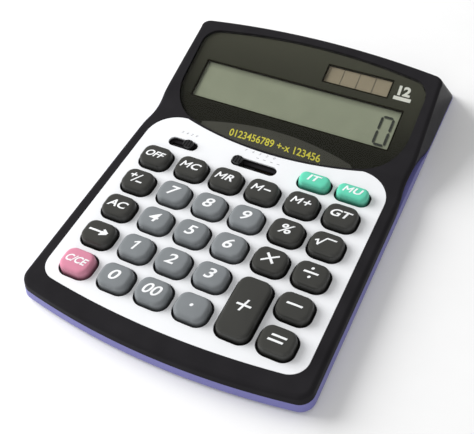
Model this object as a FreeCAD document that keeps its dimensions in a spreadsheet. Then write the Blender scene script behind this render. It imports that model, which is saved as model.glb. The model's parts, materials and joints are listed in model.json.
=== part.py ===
"""A twelve-digit desk calculator with a tilted display head, built as separate pieces.

Millimetres. +X is to the right, +Y to the back and +Z up. The origin is under the middle of the
case, on the surface that the feet stand on. The keypad is level, and the head rises behind it.
"""
import FreeCAD, Part
import functools
import math
import os
import re
import Sketcher
from FreeCAD import Vector

# Driving sizes, in millimetres and degrees
SIZES = {
    # case
    "front_border": 10.5,
    "back_border": 4.2,
    "side_border": 7.1,
    "case_thickness": 10.5,
    "case_corner": 7.0,
    "front_bow": 360.0,
    "back_bow": 418.0,
    "back_bevel": 3.0,
    "draft": 8.0,
    "back_lean": 39.0,
    "wall": 2.0,
    "roof": 2.7,
    "floor_thickness": 1.8,
    "rim_chamfer": 1.4,
    "base_chamfer": 1.0,
    "foot_height": 1.2,
    "head_tilt": 17.5,
    "fold_radius": 45.0,
    # parting line between the two shells, and the scoops at the waist
    "front_parting": 5.5,
    "back_parting": 2.0,
    "wave_offset": 8.5,
    "wave_length": 26.0,
    "scoop_offset": 3.3,
    "scoop_radius": 98.0,
    "scoop_depth": 2.3,
    "scoop_flare": 11.3,
    # keypad plate
    "plate_thickness": 0.8,
    "plate_margin": 7.15,
    "front_margin": 8.19,
    "neck": 6.25,
    "plate_bow": 400.0,
    "plate_corner": 9.0,
    "ear_radius": 16.0,
    "plate_gap": 0.15,
    # lens
    "lens_step": 1.6,
    "lip_depth": 9.0,
    "lens_margin": 8.065,
    "lens_back_bow": 333.0,
    "lip_bow": 161.0,
    "lens_back_corner": 9.0,
    "lens_front_corner": 24.0,
    "lens_thickness": 1.5,
    "lens_sink": 0.4,
    "lens_gap": 0.15,
    "lip_height": 1.2,
    "lip_seat": 1.6,
    "lip_crown": 467.0,
    "lip_margin": 1.3,
    # keys
    "key_width": 15.9,
    "key_depth": 13.3,
    "short_key_depth": 8.7,
    "column_gap": 3.1,
    "wide_column_gap": 4.1,
    "row_gap": 3.94,
    "short_gap": 4.1,
    "key_corner": 4.9,
    "short_key_corner": 3.6,
    "key_height": 4.3,
    "key_draft": 4.5,
    "key_chamfer": 0.7,
    "key_travel": 1.8,
    "key_guide": 0.2,
    "key_reveal": 0.35,
    "flange_margin": 0.75,
    "flange_thickness": 0.9,
    "rest_gap": 0.05,
    # dome mat and board
    "dome_width": 8.0,
    "dome_squash": 0.35,
    "mat_thickness": 0.6,
    "mat_margin": 1.6,
    "mat_inset": 1.0,
    "board_thickness": 1.2,
    "board_edge": 2.6,
    "board_side_gap": 11.7,
    "board_back_gap": 7.3,
    # slide switches
    "slot_gap": 5.05,
    "slot_depth": 6.0,
    "slot_corner": 2.9,
    "slot_lip": 0.3,
    "slot_floor": 0.8,
    "rounding_slot_x": -41.5,
    "rounding_slot_width": 16.0,
    "rounding_knob_x": -38.4,
    "decimal_slot_x": -2.1,
    "decimal_slot_width": 24.0,
    "decimal_knob_x": -10.7,
    "knob_gap": 0.2,
    "knob_width": 5.6,
    "knob_height": 1.8,
    "knob_groove": 0.4,
    "groove_pitch": 1.6,
    "stem_width": 3.0,
    "stem_depth": 1.2,
    "slit_gap": 0.2,
    "carrier_width": 18.0,
    "carrier_depth": 8.0,
    "carrier_thickness": 0.8,
    "wiper_strip": 0.25,
    "wiper_depth": 3.0,
    "wiper_length": 10.0,
    # display
    "window_width": 107.6,
    "window_height": 21.9,
    "window_low": 12.3,
    "window_gap": 5.6,
    "glass_side_margin": 3.2,
    "glass_margin": 2.6,
    "front_glass": 1.1,
    "rear_glass": 1.05,
    "glass_ledge": 2.4,
    "holder_gap": 0.2,
    "holder_wall": 1.2,
    "holder_floor": 1.0,
    "holder_ear": 5.0,
    "solar_x": 26.9,
    "solar_width": 33.8,
    "solar_height": 9.7,
    "solar_margin": 1.6,
    "solar_thickness": 1.1,
    "ribbon_inset": 9.0,
    "ribbon_thickness": 0.2,
    "ribbon_overlap": 4.0,
    "cable_width": 3.0,
    "cable_thickness": 0.4,
    # battery bay
    "bay_x": -30.0,
    "bay_inset": 24.4,
    "bay_width": 25.4,
    "bay_depth": 21.4,
    "bay_wall": 1.4,
    "cover_ledge": 1.3,
    "cover_thickness": 1.2,
    "cover_gap": 0.2,
    "grip_depth": 0.4,
    "cell_diameter": 11.6,
    "cell_height": 5.4,
    "cell_offset": -4.0,
    "cell_headroom": 1.4,
    "contact_strip": 0.3,
    "contact_width": 5.0,
    # posts, screws and feet
    "post_diameter": 6.0,
    "post_gap": 0.5,
    "case_screw_shank": 2.5,
    "case_screw_head": 4.8,
    "case_screw_head_height": 1.4,
    "case_screw_bite": 3.0,
    "screw_sink": 0.2,
    "front_screw_inset": 11.5,
    "side_screw_drop": 18.8,
    "back_screw_inset": 4.9,
    "back_screw_side": 10.7,
    "board_post": 3.6,
    "board_post_gap": 0.4,
    "board_screw_shank": 1.6,
    "board_screw_head": 3.4,
    "board_screw_head_height": 0.9,
    "board_screw_bite": 2.0,
    "front_post_inset": 7.0,
    "back_post_inset": 5.0,
    "back_post_edge": 3.4,
    "screw_gap": 0.05,
    "hole_gap": 0.1,
    "rib_length": 100.0,
    "rib_width": 1.2,
    "rib_inset": 33.5,
    "rib_pitch": 32.0,
    "chip_diameter": 13.0,
    "chip_height": 0.8,
    "chip_drop": 12.8,
    "foot_diameter": 12.0,
    "foot_recess": 0.5,
    "foot_side_inset": 14.7,
    "front_foot_inset": 21.5,
    "back_foot_inset": 18.0,
}

# Sizes and places that follow from the driving ones. The case is as large as what it holds.
RELATIONS = {
    "column_pitch": "key_width + column_gap",
    "inner_column": "column_pitch / 2",
    "memory_column": "inner_column + column_pitch",
    "add_column": "inner_column + key_width + wide_column_gap",
    "outer_column": "add_column + column_pitch",
    "row_pitch": "key_depth + row_gap",
    "plate_width": "2 * outer_column + key_width + 2 * plate_margin",
    "case_width": "plate_width + 2 * side_border",
    "lens_width": "plate_width - 2 * lens_step",
    "window_high": "window_low + window_height",
    "solar_window_low": "window_high + window_gap",
    "solar_window_high": "solar_window_low + solar_height",
    "solar_window_left": "solar_x - solar_width / 2",
    "solar_window_right": "solar_x + solar_width / 2",
    "pane_length": "(solar_window_high + lens_margin) * cos(head_tilt)",
    "keypad_length": "front_margin + 4 * row_pitch + key_depth + short_gap + short_key_depth + neck",
    "head_end": "pane_length + back_border",
    "back_run": "(case_thickness + head_end * tan(head_tilt)) * tan(back_lean)",
    "case_length": "front_border + keypad_length + lip_depth + head_end + back_run",
    "case_end": "case_length / 2",
    "plate_front": "case_end - front_border",
    "lens_back": "case_end - back_run - back_border",
    "fold_y": "lens_back - pane_length",
    "lens_front": "fold_y - lip_depth",
    "short_row": "lens_front - neck - short_key_depth / 2",
    "front_row": "front_margin + key_depth / 2 - plate_front",
    "top_row": "front_row + 4 * row_pitch",
    "slot_y": "top_row + key_depth / 2 + slot_gap + slot_depth / 2",
    "knob_depth": "slot_depth - 2 * slot_lip - 2 * knob_gap",
    "wave_start": "fold_y + wave_offset",
    "scoop_y": "fold_y + scoop_offset",
    "glass_width": "window_width + 2 * glass_side_margin",
    "ribbon_width": "glass_width - 2 * ribbon_inset",
    "board_depth": "roof + rest_gap + flange_thickness + key_travel + dome_squash + mat_thickness",
    "board_width": "case_width - 2 * board_side_gap",
    "board_back": "fold_y - board_back_gap",
    "mat_width": "board_width - 2 * mat_inset",
    "mat_front": "key_depth / 2 + mat_margin - front_row",
    "mat_back": "top_row + key_depth / 2 + mat_margin",
    "mat_side_back": "short_row + short_key_depth / 2 + mat_margin",
    "mat_step": "add_column - key_width / 2 - mat_margin",
    "board_front_post_x": "board_width / 2 - front_post_inset",
    "board_front_post_y": "-mat_front - board_post_gap - board_post / 2",
    "board_back_post_x": "board_width / 2 - back_post_inset",
    "board_back_post_y": "board_back - back_post_edge",
    "board_front": "board_edge - board_front_post_y",
    "front_screw_x": "board_width / 2 + post_gap + post_diameter / 2",
    "front_screw_y": "front_screw_inset - case_end",
    "side_screw_x": "front_screw_x",
    "side_screw_y": "top_row - side_screw_drop",
    "back_screw_x": "case_width / 2 - back_screw_side",
    "back_screw_y": "lens_back - back_screw_inset",
    "chip_y": "top_row - chip_drop",
    "bay_y": "lens_back - bay_inset",
    "bay_height": "cover_thickness + cell_height + cell_headroom",
    "rib_first_y": "rib_inset - case_end",
    "foot_x": "case_width / 2 - foot_side_inset",
    "foot_front_y": "front_foot_inset - case_end",
    "foot_back_y": "case_end - back_foot_inset",
}

# Straight facets that round each corner of a key and of a slot, and the flat sides of a foot
KEY_FACETS = 3
SLOT_FACETS = 4
FOOT_SIDES = 16

# How near two heights are that count as one, and how far out an edge of the roof is that counts as rim
NEAR = 0.001
RIM_SHARE = 0.8

# Heights above the table, from the driving sizes
PLATE_TOP = "(foot_height + case_thickness)"
FLOOR_TOP = "(foot_height + floor_thickness)"
PARTING = "(foot_height + front_parting)"
DECK_UNDER = f"({PLATE_TOP} - roof)"
PLATE_UNDER = f"({PLATE_TOP} - plate_thickness)"
BOARD_TOP = f"({PLATE_TOP} - board_depth)"
BOARD_UNDER = f"({BOARD_TOP} - board_thickness)"
MAT_TOP = f"({BOARD_TOP} + mat_thickness)"
FLANGE_TOP = f"({DECK_UNDER} - rest_gap)"
LENS_SEAT = f"({PLATE_TOP} - lip_seat)"
ABOVE_ALL = f"({PLATE_TOP} + case_length)"
BEYOND = "(case_length)"

# The centre of the arcs of the lens's front edge and of the plate's edge beside it
LIP_CENTRE_Y = "(lens_front + lip_bow)"

# Key name: (column, row, kind). The first row is at the back.
KEYS = {
    "key_off": ("-outer_column", 0, "plain"),
    "key_memory_clear": ("-memory_column", 0, "plain"),
    "key_memory_recall": ("-inner_column", 0, "plain"),
    "key_memory_minus": ("inner_column", 0, "plain"),
    "key_memory_plus": ("add_column", 0, "plain"),
    "key_grand_total": ("outer_column", 0, "plain"),
    "key_sign": ("-outer_column", 1, "plain"),
    "key_7": ("-memory_column", 1, "plain"),
    "key_8": ("-inner_column", 1, "plain"),
    "key_9": ("inner_column", 1, "plain"),
    "key_percent": ("add_column", 1, "plain"),
    "key_root": ("outer_column", 1, "plain"),
    "key_all_clear": ("-outer_column", 2, "plain"),
    "key_4": ("-memory_column", 2, "plain"),
    "key_5": ("-inner_column", 2, "plain"),
    "key_6": ("inner_column", 2, "plain"),
    "key_multiply": ("add_column", 2, "plain"),
    "key_divide": ("outer_column", 2, "plain"),
    "key_backspace": ("-outer_column", 3, "plain"),
    "key_1": ("-memory_column", 3, "plain"),
    "key_2": ("-inner_column", 3, "plain"),
    "key_3": ("inner_column", 3, "plain"),
    "key_plus": ("add_column", 3.5, "tall"),
    "key_minus": ("outer_column", 3, "plain"),
    "key_clear_entry": ("-outer_column", 4, "plain"),
    "key_0": ("-memory_column", 4, "plain"),
    "key_double_zero": ("-inner_column", 4, "plain"),
    "key_point": ("inner_column", 4, "plain"),
    "key_equals": ("outer_column", 4, "plain"),
    "key_item": ("add_column", None, "short"),
    "key_markup": ("outer_column", None, "short"),
}

doc = FreeCAD.newDocument("desk_calculator")
sheet = doc.addObject("Spreadsheet::Sheet", "sizes")
for line, (alias, size) in enumerate(SIZES.items(), start=1):
    sheet.set(f"A{line}", alias)
    sheet.set(f"B{line}", str(size))
    sheet.setAlias(f"B{line}", alias)
doc.recompute()


@functools.cache
def linked(text):
    """The expression with its relations written out and every driving size read from the sheet."""

    def read(match):
        name = match[0]
        if name in RELATIONS:
            return f"({linked(RELATIONS[name])})"
        return f"sizes.{name}" if name in SIZES else name

    return re.sub(r"[a-z_]+", read, text)


def value(text):
    return float(sheet.evalExpression(linked(text)))


def bind(thing, path, text):
    thing.setExpression(path, linked(text))


# Sketches


def new_body(name):
    body = doc.addObject("PartDesign::Body", name)
    body.Label = name
    return body


def new_sketch(body, name, role="XY_Plane", offset="0"):
    sketch = body.newObject("Sketcher::SketchObject", f"{body.Name}_{name}")
    support = next(f for f in body.Origin.OriginFeatures if f.Role == role)
    sketch.AttachmentSupport = (support, [""])
    sketch.MapMode = "FlatFace"
    bind(sketch, "AttachmentOffset.Base.z", offset)
    return sketch


def arc_centre(start, end, radius, side):
    """The centre of an arc from start to end that lies on the named side of the way there."""
    half = (end - start) * 0.5
    across = Vector(-half.y, half.x, 0).normalize()
    reach = math.sqrt(radius**2 - half.Length**2)
    return start + half + across * (reach if side == "left" else -reach)


def outline(sketch, corners, arcs=None):
    """A closed outline through corners. arcs gives the radius and centre's side of curved sides."""
    arcs = arcs or {}
    points = [Vector(value(x), value(y), 0) for x, y in corners]
    geometry, ends = [], []
    for i, start in enumerate(points):
        end = points[(i + 1) % len(points)]
        if i in arcs:
            radius, side = value(arcs[i][0]), arcs[i][1]
            circle = Part.Circle(arc_centre(start, end, radius, side), Vector(0, 0, 1), radius)
            first, last = (start, end) if side == "left" else (end, start)
            arc = Part.ArcOfCircle(circle, circle.parameter(first), circle.parameter(last))
            geometry.append(arc)
            ends.append((1, 2) if side == "left" else (2, 1))
        else:
            geometry.append(Part.LineSegment(start, end))
            ends.append((1, 2))
    sketch.addGeometry(geometry, False)
    joints, sizes = [], []
    for i, (x, y) in enumerate(corners):
        after = (i + 1) % len(corners)
        joints.append(Sketcher.Constraint("Coincident", i, ends[i][1], after, ends[after][0]))
        sizes.append(("DistanceX", (-1, 1, i, ends[i][0]), x))
        sizes.append(("DistanceY", (-1, 1, i, ends[i][0]), y))
        if i in arcs:
            sizes.append(("Radius", (i,), arcs[i][0]))
    sketch.addConstraint(joints + [Sketcher.Constraint(kind, *ends, value(x)) for kind, ends, x in sizes])
    for n, (_, _, text) in enumerate(sizes, start=len(joints)):
        bind(sketch, f"Constraints[{n}]", text)
    return sketch


def rounded(width, depth, corner, facets, x="0", y="0"):
    """The corners of a rectangle about (x, y), each rounded by a few straight facets."""
    corners = []
    for quarter, (across, along) in enumerate((("+", "-"), ("+", "+"), ("-", "+"), ("-", "-"))):
        for step in range(facets + 1):
            angle = 90 * (quarter - 1) + 90 * step / facets
            corners.append((
                f"{x} {across} (({width}) / 2 - ({corner})) + ({corner}) * cos({angle})",
                f"{y} {along} (({depth}) / 2 - ({corner})) + ({corner}) * sin({angle})",
            ))
    return corners


def rectangle(x_low, x_high, y_low, y_high):
    return [(x_low, y_low), (x_high, y_low), (x_high, y_high), (x_low, y_high)]


def centred(width, depth):
    return rectangle(f"-({width}) / 2", f"({width}) / 2", f"-({depth}) / 2", f"({depth}) / 2")


# Features


def pad(body, sketch, length, taper=None, both=False, down=False):
    feature = body.newObject("PartDesign::Pad", f"{sketch.Name}_pad")
    feature.Profile = sketch
    feature.SideType = "Symmetric" if both else "One side"
    feature.Reversed = down
    bind(feature, "Length", length)
    if taper:
        bind(feature, "TaperAngle", f"-({taper})")
    sketch.recompute()
    feature.recompute()
    return feature


def drafted(body, base, angle):
    """Leans the sides of base inwards from the body's own level plane upwards."""
    sides = [f"Face{n}" for n, face in enumerate(base.Shape.Faces, start=1) if face.BoundBox.ZLength > NEAR]
    feature = body.newObject("PartDesign::Draft", f"{base.Name}_draft")
    feature.Base = (base, sides)
    feature.NeutralPlane = (next(f for f in body.Origin.OriginFeatures if f.Role == "XY_Plane"), [""])
    bind(feature, "Angle", angle)
    feature.recompute()
    return feature


def dress(body, kind, base, edges, size):
    """A fillet or chamfer on the edges of base that the test picks."""
    picked = [f"Edge{n}" for n, edge in enumerate(base.Shape.Edges, start=1) if edges(edge)]
    feature = body.newObject(f"PartDesign::{kind}", f"{base.Name}_{kind.lower()}")
    feature.Base = (base, picked)
    bind(feature, "Radius" if kind == "Fillet" else "Size", size)
    feature.recompute()
    return feature


def level(edge, height):
    box = edge.BoundBox
    return abs(box.ZMin - height) < NEAR and abs(box.ZMax - height) < NEAR


def upright(edge):
    """An edge that climbs in a straight or nearly straight line."""
    box = edge.BoundBox
    return box.ZLength > 2 * max(box.XLength, box.YLength)


def place(thing, x="0", y="0", z="0"):
    for axis, text in zip("xyz", (x, y, z)):
        bind(thing, f"Placement.Base.{axis}", text)
    return thing


def on_head(thing, x, along, rise):
    """Places a thing by how far it lies up the head's slope from the fold and off its surface."""
    thing.Placement.Rotation = FreeCAD.Rotation(Vector(1, 0, 0), value("head_tilt"))
    bind(thing, "Placement.Rotation.Angle", "head_tilt")
    y = f"fold_y + ({along}) * cos(head_tilt) - ({rise}) * sin(head_tilt)"
    z = f"{PLATE_TOP} + ({along}) * sin(head_tilt) + ({rise}) * cos(head_tilt)"
    return place(thing, x, y, z)


def box(name, width, depth, height):
    thing = doc.addObject("Part::Box", name)
    for side, text in (("Length", width), ("Width", depth), ("Height", height)):
        bind(thing, side, text)
    return thing


def cylinder(name, diameter, height):
    thing = doc.addObject("Part::Cylinder", name)
    bind(thing, "Radius", f"({diameter}) / 2")
    bind(thing, "Height", height)
    return thing


def prism(name, diameter, height, sides=8):
    """A round piece drawn with a few flat sides."""
    thing = doc.addObject("Part::Prism", name)
    thing.Polygon = sides
    bind(thing, "Circumradius", f"({diameter}) / 2")
    bind(thing, "Height", height)
    return thing


def joined(name, things):
    thing = doc.addObject("Part::MultiFuse", name)
    thing.Shapes = things
    thing.Refine = True
    return finished(thing)


def grouped(name, things):
    thing = doc.addObject("Part::Compound", name)
    thing.Links = things
    return finished(thing)


def shared(name, base, tool):
    thing = doc.addObject("Part::Common", name)
    thing.Base, thing.Tool = base, tool
    return finished(thing)


def cut(name, base, tool):
    thing = doc.addObject("Part::Cut", name)
    thing.Base, thing.Tool = base, tool
    thing.Refine = True
    return finished(thing)


def finished(thing):
    thing.Label = thing.Name
    return thing


def spread(name, make, places):
    """One group of alike pieces, made once for each place."""
    return grouped(name, [make(f"{name}_{n}", x, y) for n, (x, y) in enumerate(places)])


# Case

CASE_SCREWS = [
    (f"{side}{row}_screw_x", f"{row}_screw_y") for row in ("front", "side", "back") for side in ("-", "")
]
BOARD_SCREWS = [
    ("0", "board_front_post_y"),
    ("-board_front_post_x", "board_front_post_y"),
    ("board_front_post_x", "board_front_post_y"),
    ("-board_back_post_x", "board_back_post_y"),
    ("board_back_post_x", "board_back_post_y"),
]


def slope_z(drop):
    """The height of the head's sloping surface, dropped square to itself, where y is past the fold."""
    return f"{PLATE_TOP} - ({drop}) / cos(head_tilt) + (({{y}}) - fold_y) * tan(head_tilt)"


def roof_line(drop):
    """The case's side profile from front to back, at a depth below its surface, and its one arc."""
    reach = "fold_radius * tan(head_tilt / 2)"
    fold = f"(fold_y + ({drop}) * tan(head_tilt / 2))"
    run = f"((fold_radius + ({drop})) * tan(head_tilt / 2))"
    level_z = f"({PLATE_TOP} - ({drop}))"
    corners = [
        (f"-{BEYOND}", level_z),
        (f"fold_y - {reach}", level_z),
        (f"{fold} + {run} * cos(head_tilt)", f"{level_z} + {run} * sin(head_tilt)"),
        (BEYOND, slope_z(drop).format(y=BEYOND)),
    ]
    return corners, {1: (f"fold_radius + ({drop})", "left")}


def corner_ends(side, end, bow, corner):
    """Where a corner's arc leaves a bowed end, and how far along it leaves the straight side."""
    centre = f"({end} - {bow})"
    reach = f"sqrt(({bow} - {corner})^2 - ({side} - {corner})^2)"
    return (
        f"({side} - {corner}) * {bow} / ({bow} - {corner})",
        f"({centre} + {reach} * {bow} / ({bow} - {corner}))",
        f"({centre} + {reach})",
    )


def case_solid(name, inset, back_inset, bottom, drop, bevel=False):
    """The case's whole form: a tapered block with a bowed front, a folded roof and a leaning, bowed back."""
    body = new_body(name)
    side, end = f"(case_width / 2 - ({inset}))", f"(case_end - ({inset}))"
    bow = f"(front_bow - ({inset}))"
    front_x, front_y, front_side = corner_ends(side, end, bow, "case_corner")
    behind = "(case_end + case_corner)"
    corners = [
        (f"-({front_x})", f"-{front_y}"),
        (front_x, f"-{front_y}"),
        (side, f"-{front_side}"),
        (side, behind),
        (f"-{side}", behind),
        (f"-{side}", f"-{front_side}"),
    ]
    turn = ("case_corner", "left")
    sketch = outline(new_sketch(body, "outline", offset=bottom), corners, {0: (bow, "left"), 1: turn, 5: turn})
    block = pad(body, sketch, "case_thickness + (case_length / 2 - fold_y) * tan(head_tilt)", taper="draft")

    def back_radius(z):
        return f"back_bow - ({back_inset}) - ({z} - foot_height) * tan(back_lean)"

    sketch = new_sketch(body, "back", role="YZ_Plane")
    bind(sketch, "AttachmentOffset.Base.x", "case_end - back_bow")
    far, high = f"back_bow + {BEYOND}", f"({PLATE_TOP} + case_length / 4)"
    outline(sketch, [(back_radius("0"), "0"), (far, "0"), (far, high), (back_radius(high), high)])
    back = body.newObject("PartDesign::Groove", f"{name}_back_cut")
    back.Profile = sketch
    back.ReferenceAxis = (sketch, ["V_Axis"])
    back.Angle = 360
    sketch.recompute()
    back.recompute()

    def back_edge(edge):
        outward = abs(edge.BoundBox.Center.x) > RIM_SHARE * value(side)
        return outward and edge.BoundBox.Center.y > value("fold_y") and edge.BoundBox.ZLength > NEAR

    if bevel:
        dress(body, "Chamfer", back, back_edge, "back_bevel")

    sketch = new_sketch(body, "roof", role="YZ_Plane")
    corners, arcs = roof_line(drop)
    outline(sketch, corners + [(BEYOND, ABOVE_ALL), (f"-{BEYOND}", ABOVE_ALL)], arcs)
    roof = body.newObject("PartDesign::Pocket", f"{name}_roof_cut")
    roof.Profile = sketch
    roof.SideType = "Symmetric"
    bind(roof, "Length", "2 * case_width")
    sketch.recompute()
    roof.recompute()
    return body, roof


def case_pieces():
    """The case's outer form, split at the parting line, and the room inside it."""
    body, roof = case_solid("case_form", "0", "0", "foot_height", "0", bevel=True)
    top, side, front = value(PLATE_TOP), value("case_width / 2"), value("-case_end")
    crest = value("lens_back + back_border")

    def rim(edge):
        centre = edge.BoundBox.Center
        outer = max(abs(centre.x) / side, centre.y / front, centre.y / crest)
        return edge.BoundBox.ZMin > top - NEAR and outer > RIM_SHARE

    bevelled = dress(body, "Chamfer", roof, rim, "rim_chamfer")
    dress(body, "Chamfer", bevelled, lambda e: level(e, value("foot_height")), "base_chamfer")

    body_above = new_body("above_parting")
    sketch = new_sketch(body_above, "line", role="YZ_Plane")
    low = "(foot_height + back_parting)"
    drop = "(front_parting - back_parting)"
    corners = [
        (f"-{BEYOND}", PARTING),
        ("wave_start", PARTING),
        ("wave_start + wave_length / 2", f"{PARTING} - {drop} / 2"),
        ("wave_start + wave_length", low),
        (BEYOND, low),
        (BEYOND, ABOVE_ALL),
        (f"-{BEYOND}", ABOVE_ALL),
    ]
    wave = f"(wave_length^2 + {drop}^2) / (4 * {drop})"
    outline(sketch, corners, {1: (wave, "right"), 2: (wave, "left")})
    pad(body_above, sketch, "2 * case_width", both=True)

    inset = "wall + floor_thickness * tan(draft)"
    inside, _ = case_solid("cavity_form", inset, "wall / cos(back_lean)", FLOOR_TOP, "roof")
    upper = shared("upper_form", body, body_above)
    lower = cut("lower_form", body, body_above)
    upper = cut("waisted_form", upper, scoops("scoops", "0"))
    room = cut("cavity", inside, scoops("scoop_walls", "wall"))
    return upper, lower, room


def scoops(name, grow):
    """Two upright cones that hollow the waist of the top shell, deepest at the parting line."""
    cones = []
    face = "case_width / 2 - front_parting * tan(draft) - scoop_depth + scoop_radius"
    for side in ("-", ""):
        cone = doc.addObject("Part::Cone", f"{name}_{'left' if side else 'right'}")
        bind(cone, "Radius1", f"scoop_radius + front_parting * tan(scoop_flare) + {grow}")
        bind(cone, "Radius2", f"scoop_radius - case_thickness * tan(scoop_flare) + {grow}")
        bind(cone, "Height", "front_parting + case_thickness")
        place(cone, f"{side}({face})", "scoop_y", "foot_height")
        cones.append(cone)
    return grouped(name, cones)


def post(name, diameter, bottom, top, x, y):
    return place(prism(name, diameter, f"({top}) - ({bottom})"), x, y, bottom)


def plate_prism(name, gap, bottom, top):
    """The keypad plate's outline: bowed in front, with an ear each side of the lens's lip."""
    body = new_body(name)
    side = f"(plate_width / 2 + {gap})"
    ear = f"(ear_radius + {gap})"
    bow = f"(plate_bow + {gap})"
    lip = f"(lip_bow + lip_margin - {gap})"
    tip_x = f"({side} - {ear})"
    tip_y = f"({LIP_CENTRE_Y} - sqrt({lip}^2 - {tip_x}^2))"
    front_y = f"({bow} - sqrt({bow}^2 - {side}^2) - plate_front - {gap})"
    corners = [
        (f"-{side}", front_y),
        (side, front_y),
        (side, f"{tip_y} - {ear}"),
        (tip_x, tip_y),
        (f"-{tip_x}", tip_y),
        (f"-{side}", f"{tip_y} - {ear}"),
    ]
    sketch = new_sketch(body, "outline", offset=bottom)
    arcs = {0: (bow, "left"), 2: (ear, "left"), 3: (lip, "right"), 4: (ear, "left")}
    outline(sketch, corners, arcs)
    block = pad(body, sketch, f"({top}) - ({bottom})")

    def front_corner(edge):
        return upright(edge) and edge.BoundBox.Center.y < value(front_y) + NEAR

    dress(body, "Fillet", block, front_corner, f"plate_corner + {gap}")
    return body


def lens_prism(name, gap):
    """The lens's outline, as a tall block: bowed at back and front, with wide front corners."""
    body = new_body(name)
    side = f"(lens_width / 2 + {gap})"
    lip, back = f"(lip_bow + {gap})", f"(lens_back_bow + {gap})"
    front_y = f"({LIP_CENTRE_Y} - sqrt({lip}^2 - {side}^2))"
    back_y = f"(lens_back + {gap} - {back} + sqrt({back}^2 - {side}^2))"
    sketch = new_sketch(body, "outline", offset=LENS_SEAT)
    corners = [(f"-{side}", front_y), (side, front_y), (side, back_y), (f"-{side}", back_y)]
    outline(sketch, corners, {0: (lip, "left"), 2: (back, "left")})
    block = pad(body, sketch, "case_length / 4")
    middle = value("(lens_front + lens_back) / 2")
    for place_name, test in (("front", lambda y: y < middle), ("back", lambda y: y > middle)):
        corner = f"lens_{place_name}_corner + {gap}"
        block = dress(body, "Fillet", block, lambda e: upright(e) and test(e.BoundBox.Center.y), corner)
    return body


def side_profile(name, corners):
    """A block across the whole width, with the given outline seen from the side."""
    body = new_body(name)
    pad(body, outline(new_sketch(body, "outline", role="YZ_Plane"), corners), "2 * case_width", both=True)
    return body


def seat_y(drop):
    """Where a surface dropped below the head's slope comes down to the lens's seat."""
    return f"(fold_y + (({drop}) / cos(head_tilt) - lip_seat) / tan(head_tilt))"


LENS_UNDER = "(lens_sink + lens_thickness)"


def lens_recess():
    corners = [
        ("0", LENS_SEAT),
        (seat_y(LENS_UNDER), LENS_SEAT),
        (BEYOND, slope_z(LENS_UNDER).format(y=BEYOND)),
        (BEYOND, ABOVE_ALL),
        ("0", ABOVE_ALL),
    ]
    return shared("lens_recess", lens_prism("lens_recess_outline", "lens_gap"),
                  side_profile("lens_recess_profile", corners))


def display_lens():
    """One bent pane: a sloping window, and a crowned lip where it comes down to the keypad."""
    corners = [
        (seat_y("lens_sink"), LENS_SEAT),
        (seat_y(LENS_UNDER), LENS_SEAT),
        (BEYOND, slope_z(LENS_UNDER).format(y=BEYOND)),
        (BEYOND, slope_z("lens_sink").format(y=BEYOND)),
    ]
    pane = side_profile("lens_pane", corners)
    lip_top = f"({PLATE_TOP} + lip_height)"
    lip_end = "(fold_y + (lip_height + lens_sink / cos(head_tilt)) / tan(head_tilt))"
    block = side_profile("lip_block", [
        ("0", LENS_SEAT),
        (seat_y(LENS_UNDER), LENS_SEAT),
        (lip_end, slope_z(LENS_UNDER).format(y=lip_end)),
        (lip_end, lip_top),
        ("0", lip_top),
    ])
    crown = cylinder("lip_crown", "2 * lip_crown", "case_length")
    crown.Placement.Rotation = FreeCAD.Rotation(Vector(1, 0, 0), -90)
    place(crown, "0", "0", f"{lip_top} - lip_crown")
    lip = shared("lip", block, crown)
    return shared("display_lens", lens_prism("lens_outline", "0"), joined("lens_section", [pane, lip]))


# Keys


# How deep each kind of key is, and its corner
KEY_KINDS = {
    "plain": ("key_depth", "key_corner"),
    "tall": ("(key_depth + row_pitch)", "key_corner"),
    "short": ("short_key_depth", "short_key_corner"),
}


def key_y(row):
    return "short_row" if row is None else f"(top_row - {row} * row_pitch)"


def key_cap(kind):
    """A tapered cap with a bevelled top, on a flange that stops under the deck."""
    body = new_body(f"{kind}_cap")
    depth, corner = KEY_KINDS[kind]
    sketch = outline(new_sketch(body, "outline"), rounded("key_width", depth, corner, KEY_FACETS))
    cap = drafted(body, pad(body, sketch, "key_height + roof + rest_gap"), "key_draft")
    height = value("key_height + roof + rest_gap")
    dress(body, "Chamfer", cap, lambda e: level(e, height), "key_chamfer")
    flange = centred("key_width + 2 * flange_margin", f"{depth} + 2 * flange_margin")
    pad(body, outline(new_sketch(body, "flange"), flange), "flange_thickness", down=True)
    return body


def key_opening(kind):
    """What one key cuts: a guide through the deck and a wider hole through the plate."""
    body = new_body(f"{kind}_opening")
    depth, corner = KEY_KINDS[kind]
    guide = centred("key_width + 2 * key_guide", f"{depth} + 2 * key_guide")
    pad(body, outline(new_sketch(body, "guide"), guide), "roof", down=True)
    hole = rounded("key_width + 2 * key_reveal", f"{depth} + 2 * key_reveal",
                   f"{corner} + key_reveal", KEY_FACETS)
    pad(body, outline(new_sketch(body, "hole"), hole), "2 * plate_thickness")
    return body


def dome():
    height = f"{FLANGE_TOP} - flange_thickness - rest_gap - {MAT_TOP}"
    return prism("dome", "dome_width", height)


def at_keys(suffix, patterns, z):
    """A copy of the pattern for its kind at each key's place."""
    return [
        place(grouped(f"{name}{suffix}", [patterns[kind]]), column, key_y(row), z)
        for name, (column, row, kind) in KEYS.items()
    ]


def keys():
    return at_keys("", {kind: key_cap(kind) for kind in KEY_KINDS}, FLANGE_TOP)


def key_openings():
    patterns = {kind: key_opening(kind) for kind in KEY_KINDS}
    return grouped("key_openings", at_keys("_opening", patterns, PLATE_UNDER))


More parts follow.
